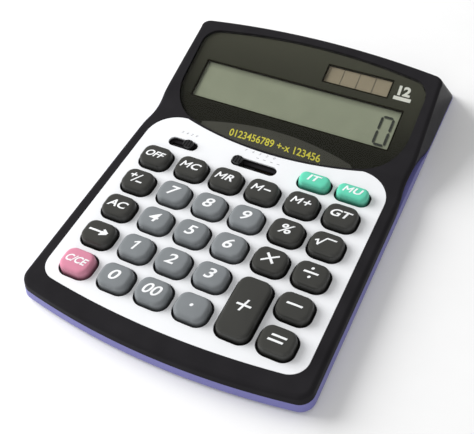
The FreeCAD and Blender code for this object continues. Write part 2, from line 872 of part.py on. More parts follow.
def dome_mat():
    """One rubber sheet on the board, with a dome under each key and a step round the switches."""
    sheet_body = new_body("mat_sheet")
    side = "mat_width / 2"
    corners = [
        (f"-{side}", "-mat_front"),
        (side, "-mat_front"),
        (side, "mat_side_back"),
        ("mat_step", "mat_side_back"),
        ("mat_step", "mat_back"),
        (f"-{side}", "mat_back"),
    ]
    sketch = outline(new_sketch(sheet_body, "outline", offset=BOARD_TOP), corners)
    pad(sheet_body, sketch, "mat_thickness")
    domes = at_keys("_dome", dict.fromkeys(KEY_KINDS, dome()), MAT_TOP)
    return joined("dome_mat", [sheet_body] + domes)


# Slide switches


def slot(name):
    """What one switch cuts: a sunk track, and the slit that the knob's stem runs in."""
    width, x = f"{name}_slot_width", f"{name}_slot_x"
    track = new_body(f"{name}_track")
    shape = rounded(f"{width} - 2 * slot_lip", "slot_depth - 2 * slot_lip",
                    "slot_corner - slot_lip", SLOT_FACETS)
    pad(track, outline(new_sketch(track, "outline"), shape), "2 * plate_thickness + roof")
    place(track, x, "slot_y", f"{DECK_UNDER} + slot_floor")
    length = f"({width} - 2 * slot_lip - knob_width + stem_width)"
    slit = box(f"{name}_slit", length, "stem_depth + 2 * slit_gap", "2 * slot_floor")
    place(slit, f"{x} - {length} / 2", "slot_y - stem_depth / 2 - slit_gap", f"{DECK_UNDER} - slot_floor / 2")
    return joined(f"{name}_slot", [track, slit])


def slot_hole(name):
    body = new_body(f"{name}_hole")
    shape = rounded(f"{name}_slot_width", "slot_depth", "slot_corner", SLOT_FACETS)
    pad(body, outline(new_sketch(body, "outline"), shape), "2 * plate_thickness")
    return place(body, f"{name}_slot_x", "slot_y", f"{PLATE_UNDER} - plate_thickness / 2")


def knob(name):
    """A grooved knob with rounded ends on a stem, with a carrier under the deck."""
    low = f"({DECK_UNDER} + slot_floor + rest_gap)"
    high = f"({PLATE_TOP} + knob_height)"
    x = f"{name}_knob_x"

    def block(part, width, depth, bottom, top):
        thing = box(f"{name}_{part}", width, depth, f"({top}) - ({bottom})")
        return place(thing, f"{x} - ({width}) / 2", f"slot_y - ({depth}) / 2", bottom)

    carrier_top = f"({DECK_UNDER} - rest_gap)"
    grip = new_body(f"{name}_grip")
    shape = rounded("knob_width", "knob_depth", "slot_corner - slot_lip - knob_gap", SLOT_FACETS)
    pad(grip, outline(new_sketch(grip, "outline"), shape), f"{high} - {low}")
    pieces = joined(f"{name}_knob_block", [
        place(grip, x, "slot_y", low),
        block("stem", "stem_width", "stem_depth", carrier_top, low),
        block("carrier", "carrier_width", "carrier_depth", f"{carrier_top} - carrier_thickness", carrier_top),
    ])
    grooves = []
    for step in (-1, 0, 1):
        groove = box(f"{name}_groove_{step + 1}", "knob_groove", "2 * knob_depth", "2 * knob_groove")
        place(groove, f"{x} + {step} * groove_pitch - knob_groove / 2", "slot_y - knob_depth",
              f"{high} - knob_groove")
        grooves.append(groove)
    return cut(f"{name}_knob", pieces, grouped(f"{name}_grooves", grooves))


def wiper(name):
    """A bent contact strip under the carrier, whose two legs press on the board."""
    body = new_body(f"{name}_wiper")
    top = f"({DECK_UNDER} - rest_gap - carrier_thickness)"
    low = f"({BOARD_TOP} + rest_gap)"
    half, inner = "(wiper_length / 2)", "(wiper_length / 2 - 2 * wiper_strip)"
    corners = [
        (f"-{half}", low),
        (f"-{inner}", low),
        (f"-{inner} / 3", f"{top} - wiper_strip"),
        (f"{inner} / 3", f"{top} - wiper_strip"),
        (inner, low),
        (half, low),
        (f"{half} / 3", top),
        (f"-{half} / 3", top),
    ]
    sketch = outline(new_sketch(body, "outline", role="XZ_Plane"), corners)
    pad(body, sketch, "wiper_depth", both=True)
    return place(body, f"{name}_knob_x", "slot_y")


# Display


def window(name, left, right, low, high):
    """A hole through the deck under the lens, square to the slope."""
    thing = box(name, f"({right}) - ({left})", f"({high}) - ({low})", "2 * roof")
    return on_head(thing, left, low, "-1.5 * roof")


def head_box(name, left, right, low, high, top, thickness):
    thing = box(name, f"({right}) - ({left})", f"({high}) - ({low})", thickness)
    return on_head(thing, left, low, f"({top}) - ({thickness})")


GLASS_LOW = "(window_low - glass_margin - glass_ledge)"
GLASS_HIGH = "(window_high + glass_margin)"
GLASS_UNDER = "(roof + front_glass + rear_glass)"


def lcd_panel():
    """Two glass plates. The front one is longer, and bears the contacts along its low edge."""
    left, right = "-glass_width / 2", "glass_width / 2"
    front = head_box("front_glass", left, right, GLASS_LOW, GLASS_HIGH, "-roof", "front_glass")
    rear = head_box("rear_glass", left, right, f"{GLASS_LOW} + glass_ledge", GLASS_HIGH,
                    "-roof - front_glass", "rear_glass")
    return joined("lcd_panel", [front, rear])


def holder_screw_places():
    x = "glass_width / 2 - holder_ear"
    return [(f"{side}({x})", "window_high + glass_margin + holder_wall + holder_ear / 2") for side in ("-", "")]


def lcd_holder():
    """A tray that carries the glass, open at its low edge, with two screw ears behind."""
    side = "(glass_width / 2 + holder_gap)"
    outer = f"({side} + holder_wall)"
    back = f"({GLASS_HIGH} + holder_gap)"
    depth = f"({GLASS_UNDER} + holder_floor - roof)"
    block = head_box("holder_block", f"-{outer}", outer, f"{GLASS_LOW} + glass_ledge", f"{back} + holder_wall",
                     "-roof", depth)
    hollow = head_box("holder_hollow", f"-{side}", side, f"{GLASS_LOW} - glass_ledge", back,
                      "0", GLASS_UNDER)
    tray = cut("holder_tray", block, hollow)
    ears = []
    for n, (x, along) in enumerate(holder_screw_places()):
        ear = head_box(f"holder_ear_{n}", f"{x} - holder_ear / 2", f"{x} + holder_ear / 2",
                       f"{back} + holder_wall / 2", f"{along} + holder_ear / 2", "-roof", "holder_floor")
        ears.append(ear)
    body = joined("holder_body", [tray] + ears)
    holes = []
    for n, (x, along) in enumerate(holder_screw_places()):
        hole = prism(f"holder_hole_{n}", "board_screw_shank + 2 * hole_gap", "2 * roof")
        holes.append(on_head(hole, x, along, "-2 * roof"))
    return cut("lcd_holder", body, grouped("holder_holes", holes))


def holder_screws():
    screws = []
    for n, (x, along) in enumerate(holder_screw_places()):
        head = prism(f"holder_screw_head_{n}", "board_screw_head", "board_screw_head_height")
        on_head(head, x, along, "-roof - holder_floor - board_screw_head_height")
        shank = prism(f"holder_screw_shank_{n}", "board_screw_shank", "holder_floor")
        on_head(shank, x, along, "-roof - holder_floor")
        screws.append(joined(f"holder_screw_{n}", [head, shank]))
    return grouped("holder_screws", screws)


def solar_cell():
    return head_box("solar_cell", "solar_window_left - solar_margin", "solar_window_right + solar_margin",
                    "solar_window_low - solar_margin", "solar_window_high + solar_margin",
                    "-roof", "solar_thickness")


def head_point(along, rise):
    return (
        f"fold_y + ({along}) * cos(head_tilt) - ({rise}) * sin(head_tilt)",
        f"{PLATE_TOP} + ({along}) * sin(head_tilt) + ({rise}) * cos(head_tilt)",
    )


def flat_strip(name, corners, width, x="0"):
    """A strip of even width, with the given outline seen from the side."""
    body = new_body(name)
    pad(body, outline(new_sketch(body, "outline", role="YZ_Plane"), corners), width, both=True)
    return place(body, x)


def lcd_ribbon():
    """The flexible film that joins the glass's contact ledge to the board."""
    face = "-roof - front_glass"
    corners = [
        ("board_back - ribbon_overlap", BOARD_TOP),
        ("board_back", BOARD_TOP),
        head_point(GLASS_LOW, f"{face} - ribbon_thickness"),
        head_point(f"{GLASS_LOW} + glass_ledge - ribbon_thickness", f"{face} - ribbon_thickness"),
        head_point(f"{GLASS_LOW} + glass_ledge - ribbon_thickness", face),
        head_point(GLASS_LOW, face),
        ("board_back - ribbon_thickness", f"{BOARD_TOP} + ribbon_thickness"),
        ("board_back - ribbon_overlap", f"{BOARD_TOP} + ribbon_thickness"),
    ]
    return flat_strip("lcd_ribbon", corners, "ribbon_width")


def solar_ribbon():
    """A flat lead from the back of the solar cell, down behind the tray and under the board."""
    under = "-roof - solar_thickness"
    bend = "-roof - solar_thickness - 4 * cable_thickness"
    below = f"-({GLASS_UNDER}) - holder_floor - 2 * cable_thickness"
    start, turn = "solar_window_high", "solar_window_low - solar_margin"
    corners = [
        ("board_back - ribbon_overlap", f"{BOARD_UNDER} - cable_thickness"),
        ("board_back + 2 * cable_thickness", f"{BOARD_UNDER} - cable_thickness"),
        head_point(GLASS_LOW, f"{below} - cable_thickness"),
        head_point(turn, f"{below} - cable_thickness"),
        head_point(f"{start} - 2 * cable_thickness", bend),
        head_point(start, under),
        head_point(f"{start} - 4 * cable_thickness", under),
        head_point(f"{turn} - 2 * cable_thickness", below),
        head_point(f"{GLASS_LOW} + cable_thickness", below),
        ("board_back + cable_thickness", BOARD_UNDER),
        ("board_back - ribbon_overlap", BOARD_UNDER),
    ]
    return flat_strip("solar_ribbon", corners, "cable_width", "(solar_window_left + solar_window_right) / 2")


# Board


def main_board():
    length = "(board_front + board_back)"
    block = box("board_block", "board_width", length, "board_thickness")
    place(block, "-board_width / 2", "-board_front", BOARD_UNDER)

    def hole(name, x, y):
        drill = prism(name, "board_screw_shank + 2 * hole_gap", "3 * board_thickness")
        return place(drill, x, y, f"{BOARD_UNDER} - board_thickness")

    return cut("main_board", block, spread("board_holes", hole, BOARD_SCREWS))


def controller_chip():
    """The moulded blob that seals the chip under the board."""
    chip = prism("controller_chip", "chip_diameter", "chip_height", 12)
    return finished(place(chip, "0", "chip_y", f"{BOARD_UNDER} - chip_height"))


def screw(head, head_height, shank, seat, tip):
    """A maker of screws that point up, with their heads under the seat."""

    def make(name, x, y):
        top = place(prism(f"{name}_head", head, head_height), x, y, f"{seat} - {head_height}")
        rod = place(prism(f"{name}_shank", shank, f"({tip}) - ({seat})"), x, y, seat)
        return joined(name, [top, rod])

    return make


CASE_SCREW_SEAT = "(foot_height + case_screw_head_height + screw_sink)"


def case_screws():
    tip = f"({PARTING} + case_screw_bite)"
    make = screw("case_screw_head", "case_screw_head_height", "case_screw_shank", CASE_SCREW_SEAT, tip)
    return spread("case_screws", make, CASE_SCREWS)


def board_screws():
    tip = f"({BOARD_TOP} + board_screw_bite)"
    make = screw("board_screw_head", "board_screw_head_height", "board_screw_shank", BOARD_UNDER, tip)
    return spread("board_screws", make, BOARD_SCREWS)


# Battery bay


def bay_box(name, grow, bottom, top):
    width, depth = f"(bay_width + 2 * ({grow}))", f"(bay_depth + 2 * ({grow}))"
    thing = box(name, width, depth, f"({top}) - ({bottom})")
    return place(thing, f"bay_x - {width} / 2", f"bay_y - {depth} / 2", bottom)


BAY_TOP = "(foot_height + bay_height)"
COVER_TOP = "(foot_height + cover_thickness)"


def battery_cover():
    plate = bay_box("cover_plate", "cover_ledge - cover_gap", "foot_height", COVER_TOP)
    skirt = bay_box("cover_skirt", "-cover_gap", COVER_TOP, f"{FLOOR_TOP} + cover_gap")
    hollow = bay_box("cover_hollow", "-cover_gap - bay_wall", COVER_TOP, f"{FLOOR_TOP} + bay_wall")
    body = joined("cover_body", [plate, cut("cover_rim", skirt, hollow)])
    grips = []
    for n in range(4):
        grip = box(f"cover_grip_{n}", "bay_width / 3", "2 * grip_depth", "2 * grip_depth")
        place(grip, "bay_x - bay_width / 6", f"bay_y + bay_depth / 4 + {n} * 4 * grip_depth",
              "foot_height - grip_depth")
        grips.append(grip)
    return cut("battery_cover", body, grouped("cover_grips", grips))


def button_cell():
    can = prism("cell_can", "cell_diameter", "cell_height - 2 * contact_strip", 20)
    pole = prism("cell_pole", "cell_diameter - 6 * contact_strip", "2 * contact_strip", 20)
    bottom = f"({COVER_TOP} + rest_gap)"
    place(can, "bay_x + cell_offset", "bay_y", bottom)
    place(pole, "bay_x + cell_offset", "bay_y", f"{bottom} + cell_height - 2 * contact_strip")
    return joined("button_cell", [can, pole])


def upper_contact():
    """A strip under the bay's roof, bent down to press on the cell's pole."""
    body = new_body("upper_contact")
    touch = f"({COVER_TOP} + 2 * rest_gap + cell_height)"
    sketch = new_sketch(body, "outline", role="XZ_Plane")
    corners = [
        ("-cell_diameter / 3", touch),
        ("0", touch),
        ("cell_diameter / 3", f"{BAY_TOP} - contact_strip"),
        ("cell_diameter", f"{BAY_TOP} - contact_strip"),
        ("cell_diameter", BAY_TOP),
        ("cell_diameter / 4", BAY_TOP),
        ("-contact_strip / 2", f"{touch} + contact_strip"),
        ("-cell_diameter / 3", f"{touch} + contact_strip"),
    ]
    pad(body, outline(sketch, corners), "contact_width", both=True)
    return place(body, "bay_x + cell_offset", "bay_y")


def side_contact():
    """A plain strip down the bay's wall that touches the cell's side."""
    edge = "(bay_x + cell_offset - cell_diameter / 2 - rest_gap)"
    wall = "(bay_x - bay_width / 2)"
    strip = box("side_strip", "contact_strip", "contact_width", f"{BAY_TOP} - {COVER_TOP} - 4 * contact_strip")
    place(strip, f"{edge} - contact_strip", "bay_y - contact_width / 2", f"{COVER_TOP} + 4 * contact_strip")
    foot = box("side_foot", f"{edge} - {wall}", "contact_width", "contact_strip")
    place(foot, wall, "bay_y - contact_width / 2", f"{BAY_TOP} - contact_strip")
    return joined("side_contact", [strip, foot])


def battery_ribbon():
    """A flat lead from the bay's front wall to the underside of the board."""
    wall_y = "(bay_y - bay_depth / 2 - bay_wall)"
    corners = [
        ("board_back - ribbon_overlap", f"{BOARD_UNDER} - cable_thickness"),
        (f"{wall_y} - cable_thickness", f"{BOARD_UNDER} - cable_thickness"),
        (wall_y, f"{BOARD_UNDER} - cable_thickness"),
        (wall_y, f"{BAY_TOP} - cable_thickness"),
        (f"{wall_y} - cable_thickness", f"{BAY_TOP} - cable_thickness"),
        (f"{wall_y} - cable_thickness", BOARD_UNDER),
        ("board_back - ribbon_overlap", BOARD_UNDER),
    ]
    return flat_strip("battery_ribbon", corners, "cable_width", "bay_x")


# Shells


def top_shell(upper, room, openings):
    hollow = cut("hollow_top", upper, room)
    roof_end = f"({PLATE_TOP} + case_length / 4)"
    stubs = []
    for n, (x, y) in enumerate(CASE_SCREWS):
        stubs.append(post(f"case_post_{n}", "post_diameter", PARTING, roof_end, x, y))
    for n, (x, y) in enumerate(BOARD_SCREWS):
        stubs.append(post(f"board_post_{n}", "board_post", BOARD_TOP, roof_end, x, y))
    posts = shared("posts", grouped("long_posts", stubs), doc.getObject("case_form"))
    shell = joined("posted_top", [hollow, posts])

    def case_pilot(name, x, y):
        drill = prism(name, "case_screw_shank + 2 * screw_gap", "case_screw_bite + wall")
        return place(drill, x, y, f"{PARTING} - wall + rest_gap")

    def board_pilot(name, x, y):
        drill = prism(name, "board_screw_shank + 2 * screw_gap", "board_screw_bite + wall")
        return place(drill, x, y, f"{BOARD_TOP} - wall + rest_gap")

    recess_top = f"({PLATE_TOP} + 3 * wall)"
    sunk = grouped("recesses", [
        plate_prism("plate_recess", "plate_gap", PLATE_UNDER, recess_top),
        lens_recess(),
        spread("case_pilots", case_pilot, CASE_SCREWS),
        spread("board_pilots", board_pilot, BOARD_SCREWS),
    ])
    shell = cut("recessed_top", shell, sunk)
    through = grouped("through_cuts", [
        openings,
        slot("rounding"),
        slot("decimal"),
        window("lcd_window", "-window_width / 2", "window_width / 2", "window_low", "window_high"),
        window("solar_window", "solar_window_left", "solar_window_right", "solar_window_low",
               "solar_window_high"),
    ])
    return cut("top_shell", shell, through)


def keypad_plate(openings):
    plate = plate_prism("plate_blank", "0", PLATE_UNDER, PLATE_TOP)
    holes = grouped("plate_holes", [openings, slot_hole("rounding"), slot_hole("decimal")])
    return cut("keypad_plate", plate, holes)


def bottom_shell(lower, room):
    shell = cut("hollow_bottom", lower, room)
    solids = []
    for n, (x, y) in enumerate(CASE_SCREWS):
        solids.append(post(f"boss_{n}", "post_diameter", "foot_height + base_chamfer", PARTING, x, y))
    for n in range(3):
        rib = box(f"rib_{n}", "rib_length", "rib_width", f"{BOARD_UNDER} - foot_height - base_chamfer")
        place(rib, "-rib_length / 2", f"rib_first_y + {n} * rib_pitch - rib_width / 2",
              "foot_height + base_chamfer")
        solids.append(rib)
    bay_shell = bay_box("bay_shell", "bay_wall", "foot_height + base_chamfer", f"{BAY_TOP} + bay_wall")
    shell = joined("bossed_bottom", [shell, bay_shell] + solids)

    def screw_hole(name, x, y):
        bore = prism(f"{name}_bore", "case_screw_shank + 2 * hole_gap", "case_thickness")
        sink = prism(f"{name}_sink", "case_screw_head + 2 * hole_gap", CASE_SCREW_SEAT)
        return joined(name, [place(bore, x, y), place(sink, x, y)])

    def foot_pocket(name, x, y):
        pocket = prism(name, "foot_diameter + 2 * hole_gap", "foot_height + foot_recess", FOOT_SIDES)
        return place(pocket, x, y)

    tools = grouped("bottom_cuts", [
        spread("screw_holes", screw_hole, CASE_SCREWS),
        spread("foot_pockets", foot_pocket, FEET),
        joined("bay_room", [
            bay_box("bay_hollow", "0", "0", BAY_TOP),
            bay_box("cover_seat", "cover_ledge", "0", COVER_TOP),
        ]),
    ])
    return cut("bottom_shell", shell, tools)


FEET = [
    ("-foot_x", "foot_front_y"),
    ("foot_x", "foot_front_y"),
    ("-foot_x", "foot_back_y"),
    ("foot_x", "foot_back_y"),
]


def rubber_feet():
    def foot(name, x, y):
        return place(prism(name, "foot_diameter", "foot_height + foot_recess", FOOT_SIDES), x, y)

    return spread("rubber_feet", foot, FEET)


def build():
    upper, lower, room = case_pieces()
    openings = key_openings()
    nodes = [
        top_shell(upper, room, openings),
        bottom_shell(lower, room),
        keypad_plate(openings),
        display_lens(),
        lcd_panel(),
        lcd_holder(),
        lcd_ribbon(),
        solar_cell(),
        solar_ribbon(),
        main_board(),
        controller_chip(),
        dome_mat(),
        button_cell(),
        upper_contact(),
        side_contact(),
        battery_ribbon(),
        battery_cover(),
        rubber_feet(),
        case_screws(),
        board_screws(),
        holder_screws(),
    ]
    for name in ("rounding", "decimal"):
        nodes += [knob(name), wiper(name)]
    nodes += keys()
    doc.recompute()
    return nodes


def check(nodes):
    for thing in doc.Objects:
        if {"Invalid", "Error"} & set(thing.State):
            raise RuntimeError(f"{thing.Name} failed: {thing.State}")
    for node in nodes:
        if node.Shape.isNull() or not node.Shape.isValid() or not node.Shape.Solids:
            raise RuntimeError(f"{node.Label} has no valid solid")


def export(nodes):
    os.makedirs("parts", exist_ok=True)
    for node in nodes:
        node.Shape.exportStep(f"parts/{node.Label}.step")
        solids, size = len(node.Shape.Solids), node.Shape.optimalBoundingBox()
        print(f"{node.Label:20s} solids {solids:2d}  volume {node.Shape.Volume:9.1f}  "
              f"{size.XLength:6.1f} x {size.YLength:6.1f} x {size.ZLength:5.1f}")


pieces = build()
check(pieces)
export(pieces)
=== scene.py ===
"""The looks of a twelve-digit desk calculator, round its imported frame.

Shapes are worked out in millimetres in the frame's axes: +X to the right, +Y to the back, +Z up.
"""
import json
import math

import bmesh
import bpy
from mathutils import Euler, Matrix, Vector
from mathutils.geometry import delaunay_2d_cdt


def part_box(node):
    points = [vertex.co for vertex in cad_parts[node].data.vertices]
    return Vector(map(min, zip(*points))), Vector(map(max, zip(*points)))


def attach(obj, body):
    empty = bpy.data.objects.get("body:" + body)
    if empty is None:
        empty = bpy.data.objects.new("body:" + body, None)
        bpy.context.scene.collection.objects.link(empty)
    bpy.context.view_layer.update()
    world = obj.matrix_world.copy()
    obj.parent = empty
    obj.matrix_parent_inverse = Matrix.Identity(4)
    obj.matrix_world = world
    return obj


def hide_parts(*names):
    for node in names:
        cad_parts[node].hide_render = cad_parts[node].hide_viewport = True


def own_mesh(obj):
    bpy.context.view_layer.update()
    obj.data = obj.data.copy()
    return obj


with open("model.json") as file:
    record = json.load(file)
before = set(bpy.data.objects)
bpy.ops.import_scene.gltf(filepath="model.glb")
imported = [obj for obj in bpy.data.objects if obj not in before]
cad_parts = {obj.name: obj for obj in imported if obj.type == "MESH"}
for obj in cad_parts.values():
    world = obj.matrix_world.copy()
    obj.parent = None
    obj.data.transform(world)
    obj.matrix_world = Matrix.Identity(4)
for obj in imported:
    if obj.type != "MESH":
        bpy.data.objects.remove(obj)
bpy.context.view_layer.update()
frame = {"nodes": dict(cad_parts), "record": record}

MM = 0.001
HAIR = 0.02
FILM = 0.01


def box_of(node):
    low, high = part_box(node)
    return low / MM, high / MM


# Places read from the frame
plate_low, plate_high = box_of("keypad_plate")
lens_low, lens_high = box_of("display_lens")
PLATE_TOP = plate_high.z
PLATE_UNDER = plate_low.z
PLATE_SIDE = plate_high.x
PLATE_FRONT = plate_low.y
LENS_SIDE = lens_high.x
LENS_FRONT = lens_low.y
LENS_BACK = lens_high.y
LENS_SEAT = lens_low.z

# Case. Its walls are worked out up to a plane TALL above its underside.
CASE_SIDE = 70.7
CASE_FRONT = PLATE_FRONT - 10.5
CASE_CORNER = 7.0
FRONT_BOW = 360.0
BACK_BOW = 418.0
BACK_CORNER = 5.0
DRAFT = math.radians(8.0)
FOOT = 1.2
WALL = 2.0
ROOF = 2.7
FLOOR = 1.8
TALL = 40.0
RIM = 2.4
BASE_RIM = 1.0
SIDE_ROWS = 7
RIM_STEPS = 8
ROOF_ROWS = 12
ROOF_COLUMNS = range(-64, 65, 8)

# Cutting tools: how far out and up they reach, and where they cut through the deck
FAR = 150.0
SKY = 60.0
DECK_BELOW = 5.0
DECK_ABOVE = 13.0

# Head
TILT = math.radians(17.5)
FOLD_RADIUS = 45.0
PANE_LENGTH = 54.9
FOLD_Y = LENS_BACK - PANE_LENGTH
BACK_BORDER = 4.2
BACK_LEAN = math.radians(39.0)
BACK_RUN = (PLATE_TOP - FOOT + (PANE_LENGTH + BACK_BORDER) * math.tan(TILT)) * math.tan(BACK_LEAN)
CASE_BACK = LENS_BACK + BACK_BORDER + BACK_RUN

# Parting line and waist
FRONT_PARTING = FOOT + 5.5
BACK_PARTING = FOOT + 2.0
WAVE_START = FOLD_Y + 8.5
WAVE_LENGTH = 26.0
WAVE_STEPS = 40
SCOOP_Y = FOLD_Y + 3.3
SCOOP_RADIUS = 98.0
SCOOP_DEPTH = 2.3
SCOOP_FLARE = math.radians(11.3)
SCOOP_BLEND = 0.5
SCOOP_FADE = 8

# Plate
PLATE_BOW = 400.0
PLATE_CORNER = 9.0
EAR_RADIUS = 16.0
PLATE_GAP = 0.15
PLATE_EDGE = 0.12
KEY_REVEAL = 0.75

# Lens
LENS_BACK_BOW = 333.0
LIP_BOW = 161.0
LIP_CENTRE_Y = LENS_FRONT + LIP_BOW
LENS_BACK_CORNER = 9.0
LENS_FRONT_CORNER = 24.0
LENS_THICKNESS = 1.5
LENS_SINK = 0.4
LENS_GAP = 0.15
LENS_EDGE = 0.45
SEAT_STOP = 0.3
LIP_HEIGHT = 1.2
LIP_CROWN = 467.0
LIP_MARGIN = 1.3
LIP_ROWS = (2.5, 5.0, 7.5, 10.0)
LIP_CLEAR = 1.0
CREASE_HALF = 41
CREASE_STEP = 3

# Ink in the lens, with its fine stripes
PRINT_DEPTH = 1.25
FILM_INSET = 0.1
BORDER = 0.7
STRIPE_SHARE = 0.3
STRIPE_PITCH = 0.58

# Windows and what shows in them: left, right, low and high, up the head's slope from the fold
DISPLAY = (-53.8, 53.8, 12.3, 34.2)
SOLAR = (10.0, 43.8, 39.8, 49.5)
WINDOW_CORNER = 0.3
WINDOW_CUT = 6.0
SOLAR_STRIPS = 4
CELL_LINE = 0.25
DIGIT_PLACE = (45.8, 51.4, 14.1, 29.6)
SEGMENT = 1.3
SEGMENT_GAP = 0.25
SHADOW_SHIFT = 0.4
SHADOW_RISE = 0.04
DIGIT_RISE = 0.08

# Keys. The crown's rings stand at these shares of the way from its middle to its rim.
FLANGE_MARGIN = 0.75
FLANGE = 0.9
KEY_CORNER = 4.9
SHORT_CORNER = 3.6
SHORT_DEPTH = 10
KEY_DRAFT = math.radians(5.5)
KEY_ROUND = 1.5
KEY_CROWN = 0.45
KEY_GUIDE = 0.2
KEY_SIDE_ROWS = 4
KEY_ROUND_STEPS = 7
CROWN_RINGS = (0.88, 0.72, 0.54, 0.36, 0.18)

# Dome mat. The profile gives a dome's radius and its share of the height.
MAT_THICKNESS = 0.6
MAT_MARGIN = 1.6
DOME_PROFILE = ((4.0, 0.0), (3.9, 0.15), (3.0, 0.62), (2.7, 0.8), (2.6, 0.95), (2.4, 1.0))

# Printed marks
DIGIT = 7.4
SLANT = 0.33
BOLD = 0.12
THIN = 0.75
THICK = 0.95
INK = 0.05
FINE_INK = 0.03
LONGEST_EDGE = 0.8

# Switches
SLOT_Y = PLATE_FRONT + 98.5
SLOT_DEPTH = 6.0
SLOT_CORNER = 2.9
SLOT_LIP = 0.3
SLOT_FLOOR = 0.8
SLOTS = {"rounding": (-41.5, 16.0), "decimal": (-2.1, 24.0)}
SLIT_DEPTH = 1.6
SLIT_CORNER = 0.2

# Knobs. An outline is width, depth and corner.
KNOB_WIDTH = 5.6
KNOB = (KNOB_WIDTH, 5.0, 2.4)
KNOB_ROUND = 0.5
KNOB_LIFT = 0.05
GRIP = (0.5, 8.0, 0.2, 3)
GRIP_PITCH = 1.5
GRIP_DEPTH = 0.45
STEM_WIDTH = 3.0
STEM = (STEM_WIDTH, 1.2, 0.2)
STEM_LAP = 0.5
CARRIER = (18.0, 8.0, 1.0)
CARRIER_THICKNESS = 0.8

# Underside
FOOT_WIDTH = 12.0
FOOT_RECESS = 0.5
FOOT_TOP = ((5.9, 0.0), (6.0, 0.3))
FOOT_BOTTOM = ((6.0, 0.45), (5.85, 0.15), (5.5, 0.0))
SCREW_HEAD = 4.8
SCREW_SHANK = 1.25
SCREW_PROFILE = ((SCREW_SHANK, 1.4), (2.4, 1.4), (2.4, 0.7), (2.2, 0.3), (1.7, 0.06), (0.9, 0.0))
CROSS_STROKES = ((0.6, 3.0, 0.1, 2), (3.0, 0.6, 0.1, 2))
CROSS_DEPTH = 0.8
SINK_DEPTH = 1.6
SINK_PLAY = 0.2
BOSS_WIDTH = 6.0
BAY_HEIGHT = 8.0
BAY_WALL = 1.4
BAY_CORNER = 0.5
COVER_PLAY = 0.4
COVER_LEDGE = 1.3
COVER_SEAT = 1.2


# Outlines. Each is a list of (point, outward normal) pairs.


def turn(x, y, radius, start, stop, steps, hollow=False):
    """Pairs round an arc, between two angles in degrees."""
    pairs = []
    for n in range(steps + 1):
        angle = math.radians(start + (stop - start) * n / steps)
        out = Vector((math.cos(angle), math.sin(angle)))
        pairs.append((Vector((x, y)) + out * radius, -out if hollow else out))
    return pairs


def closed(pairs):
    """The outline without points that repeat."""
    kept = []
    for point, normal in pairs:
        if not kept or (point - kept[-1][0]).length > 1e-4:
            kept.append((point, normal))
    if (kept[0][0] - kept[-1][0]).length < 1e-4:
        kept.pop()
    return kept


def straight(x, y_from, y_to, side, count=90):
    """Pairs up or down a side, without its ends."""
    return [(Vector((x, y_from + (y_to - y_from) * n / count)), Vector((side, 0))) for n in range(1, count)]


def bow_corner(side, bow, corner):
    """How far along the bow's middle line its corner's centre lies, and the angle there."""
    return math.sqrt((bow - corner) ** 2 - (side - corner) ** 2), math.degrees(
        math.asin((side - corner) / (bow - corner)))


def front_end(side, front, bow, corner):
    """The bowed front with the corner right of it, the corner left of it, and where the corners end."""
    reach, lean = bow_corner(side, bow, corner)
    x, low = side - corner, front + bow - reach
    right = turn(0, front + bow, bow, -90 - lean, -90 + lean, 40) + turn(x, low, corner, -90 + lean, 0, 12)
    return right, turn(-x, low, corner, 180, 270 - lean, 12), low


def bowed(side, front, front_bow, front_corner, back, back_bow, back_corner):
    """An outline with straight sides and bowed ends."""
    pairs, front_left, low = front_end(side, front, front_bow, front_corner)
    reach, lean = bow_corner(side, back_bow, back_corner)
    x, high = side - back_corner, back - back_bow + reach
    pairs += straight(side, low, high, 1)
    pairs += turn(x, high, back_corner, 0, 90 - lean, 12)
    pairs += turn(0, back - back_bow, back_bow, 90 - lean, 90 + lean, 40)
    pairs += turn(-x, high, back_corner, 90 + lean, 180, 12)
    pairs += straight(-side, high, low, -1)
    return closed(pairs + front_left)


def plate_outline():
    """Bowed in front, with an ear each side of the lens's lip."""
    pairs, front_left, _ = front_end(PLATE_SIDE, PLATE_FRONT, PLATE_BOW, PLATE_CORNER)
    tip_x = PLATE_SIDE - EAR_RADIUS
    lip = LIP_BOW + LIP_MARGIN
    ear_y = LIP_CENTRE_Y - math.sqrt(lip ** 2 - tip_x ** 2) - EAR_RADIUS
    swing = math.degrees(math.asin(tip_x / lip))
    pairs += turn(tip_x, ear_y, EAR_RADIUS, 0, 90, 16)
    pairs += turn(0, LIP_CENTRE_Y, lip, -90 + swing, -90 - swing, 40, hollow=True)
    pairs += turn(-tip_x, ear_y, EAR_RADIUS, 90, 180, 16)
    return closed(pairs + front_left)


def rounded(x, y, width, depth, corner, steps=10):
    """A rectangle with round corners, about (x, y)."""
    across, along = width / 2 - corner, depth / 2 - corner
    pairs = []
    for quarter, (right, up) in enumerate(((1, -1), (1, 1), (-1, 1), (-1, -1))):
        start = 90 * (quarter - 1)
        pairs += turn(x + right * across, y + up * along, corner, start, start + 90, steps)
    return closed(pairs)


def moved(outline, distance):
    """The outline's points, moved inwards."""
    return [point - normal * distance for point, normal in outline]


def widened(outline, distance):
    return [(point + normal * distance, normal) for point, normal in outline]


def as_hole(outline):
    """The same outline, round a hole: its normals point into the hole."""
    return [(point, -normal) for point, normal in outline]


def case_outline(height, inset=0.0, back_inset=0.0):
    """The case's outline at a height above its underside: its sides lean a little and its back a lot."""
    shrink = height * math.tan(DRAFT) + inset
    fall = height * math.tan(BACK_LEAN) + back_inset
    return bowed(CASE_SIDE - shrink, CASE_FRONT + shrink, FRONT_BOW - shrink, CASE_CORNER,
                 CASE_BACK - fall, BACK_BOW - fall, BACK_CORNER)


lens_outline = bowed(LENS_SIDE, LENS_FRONT, LIP_BOW, LENS_FRONT_CORNER, LENS_BACK, LENS_BACK_BOW,
                     LENS_BACK_CORNER)

# Surfaces


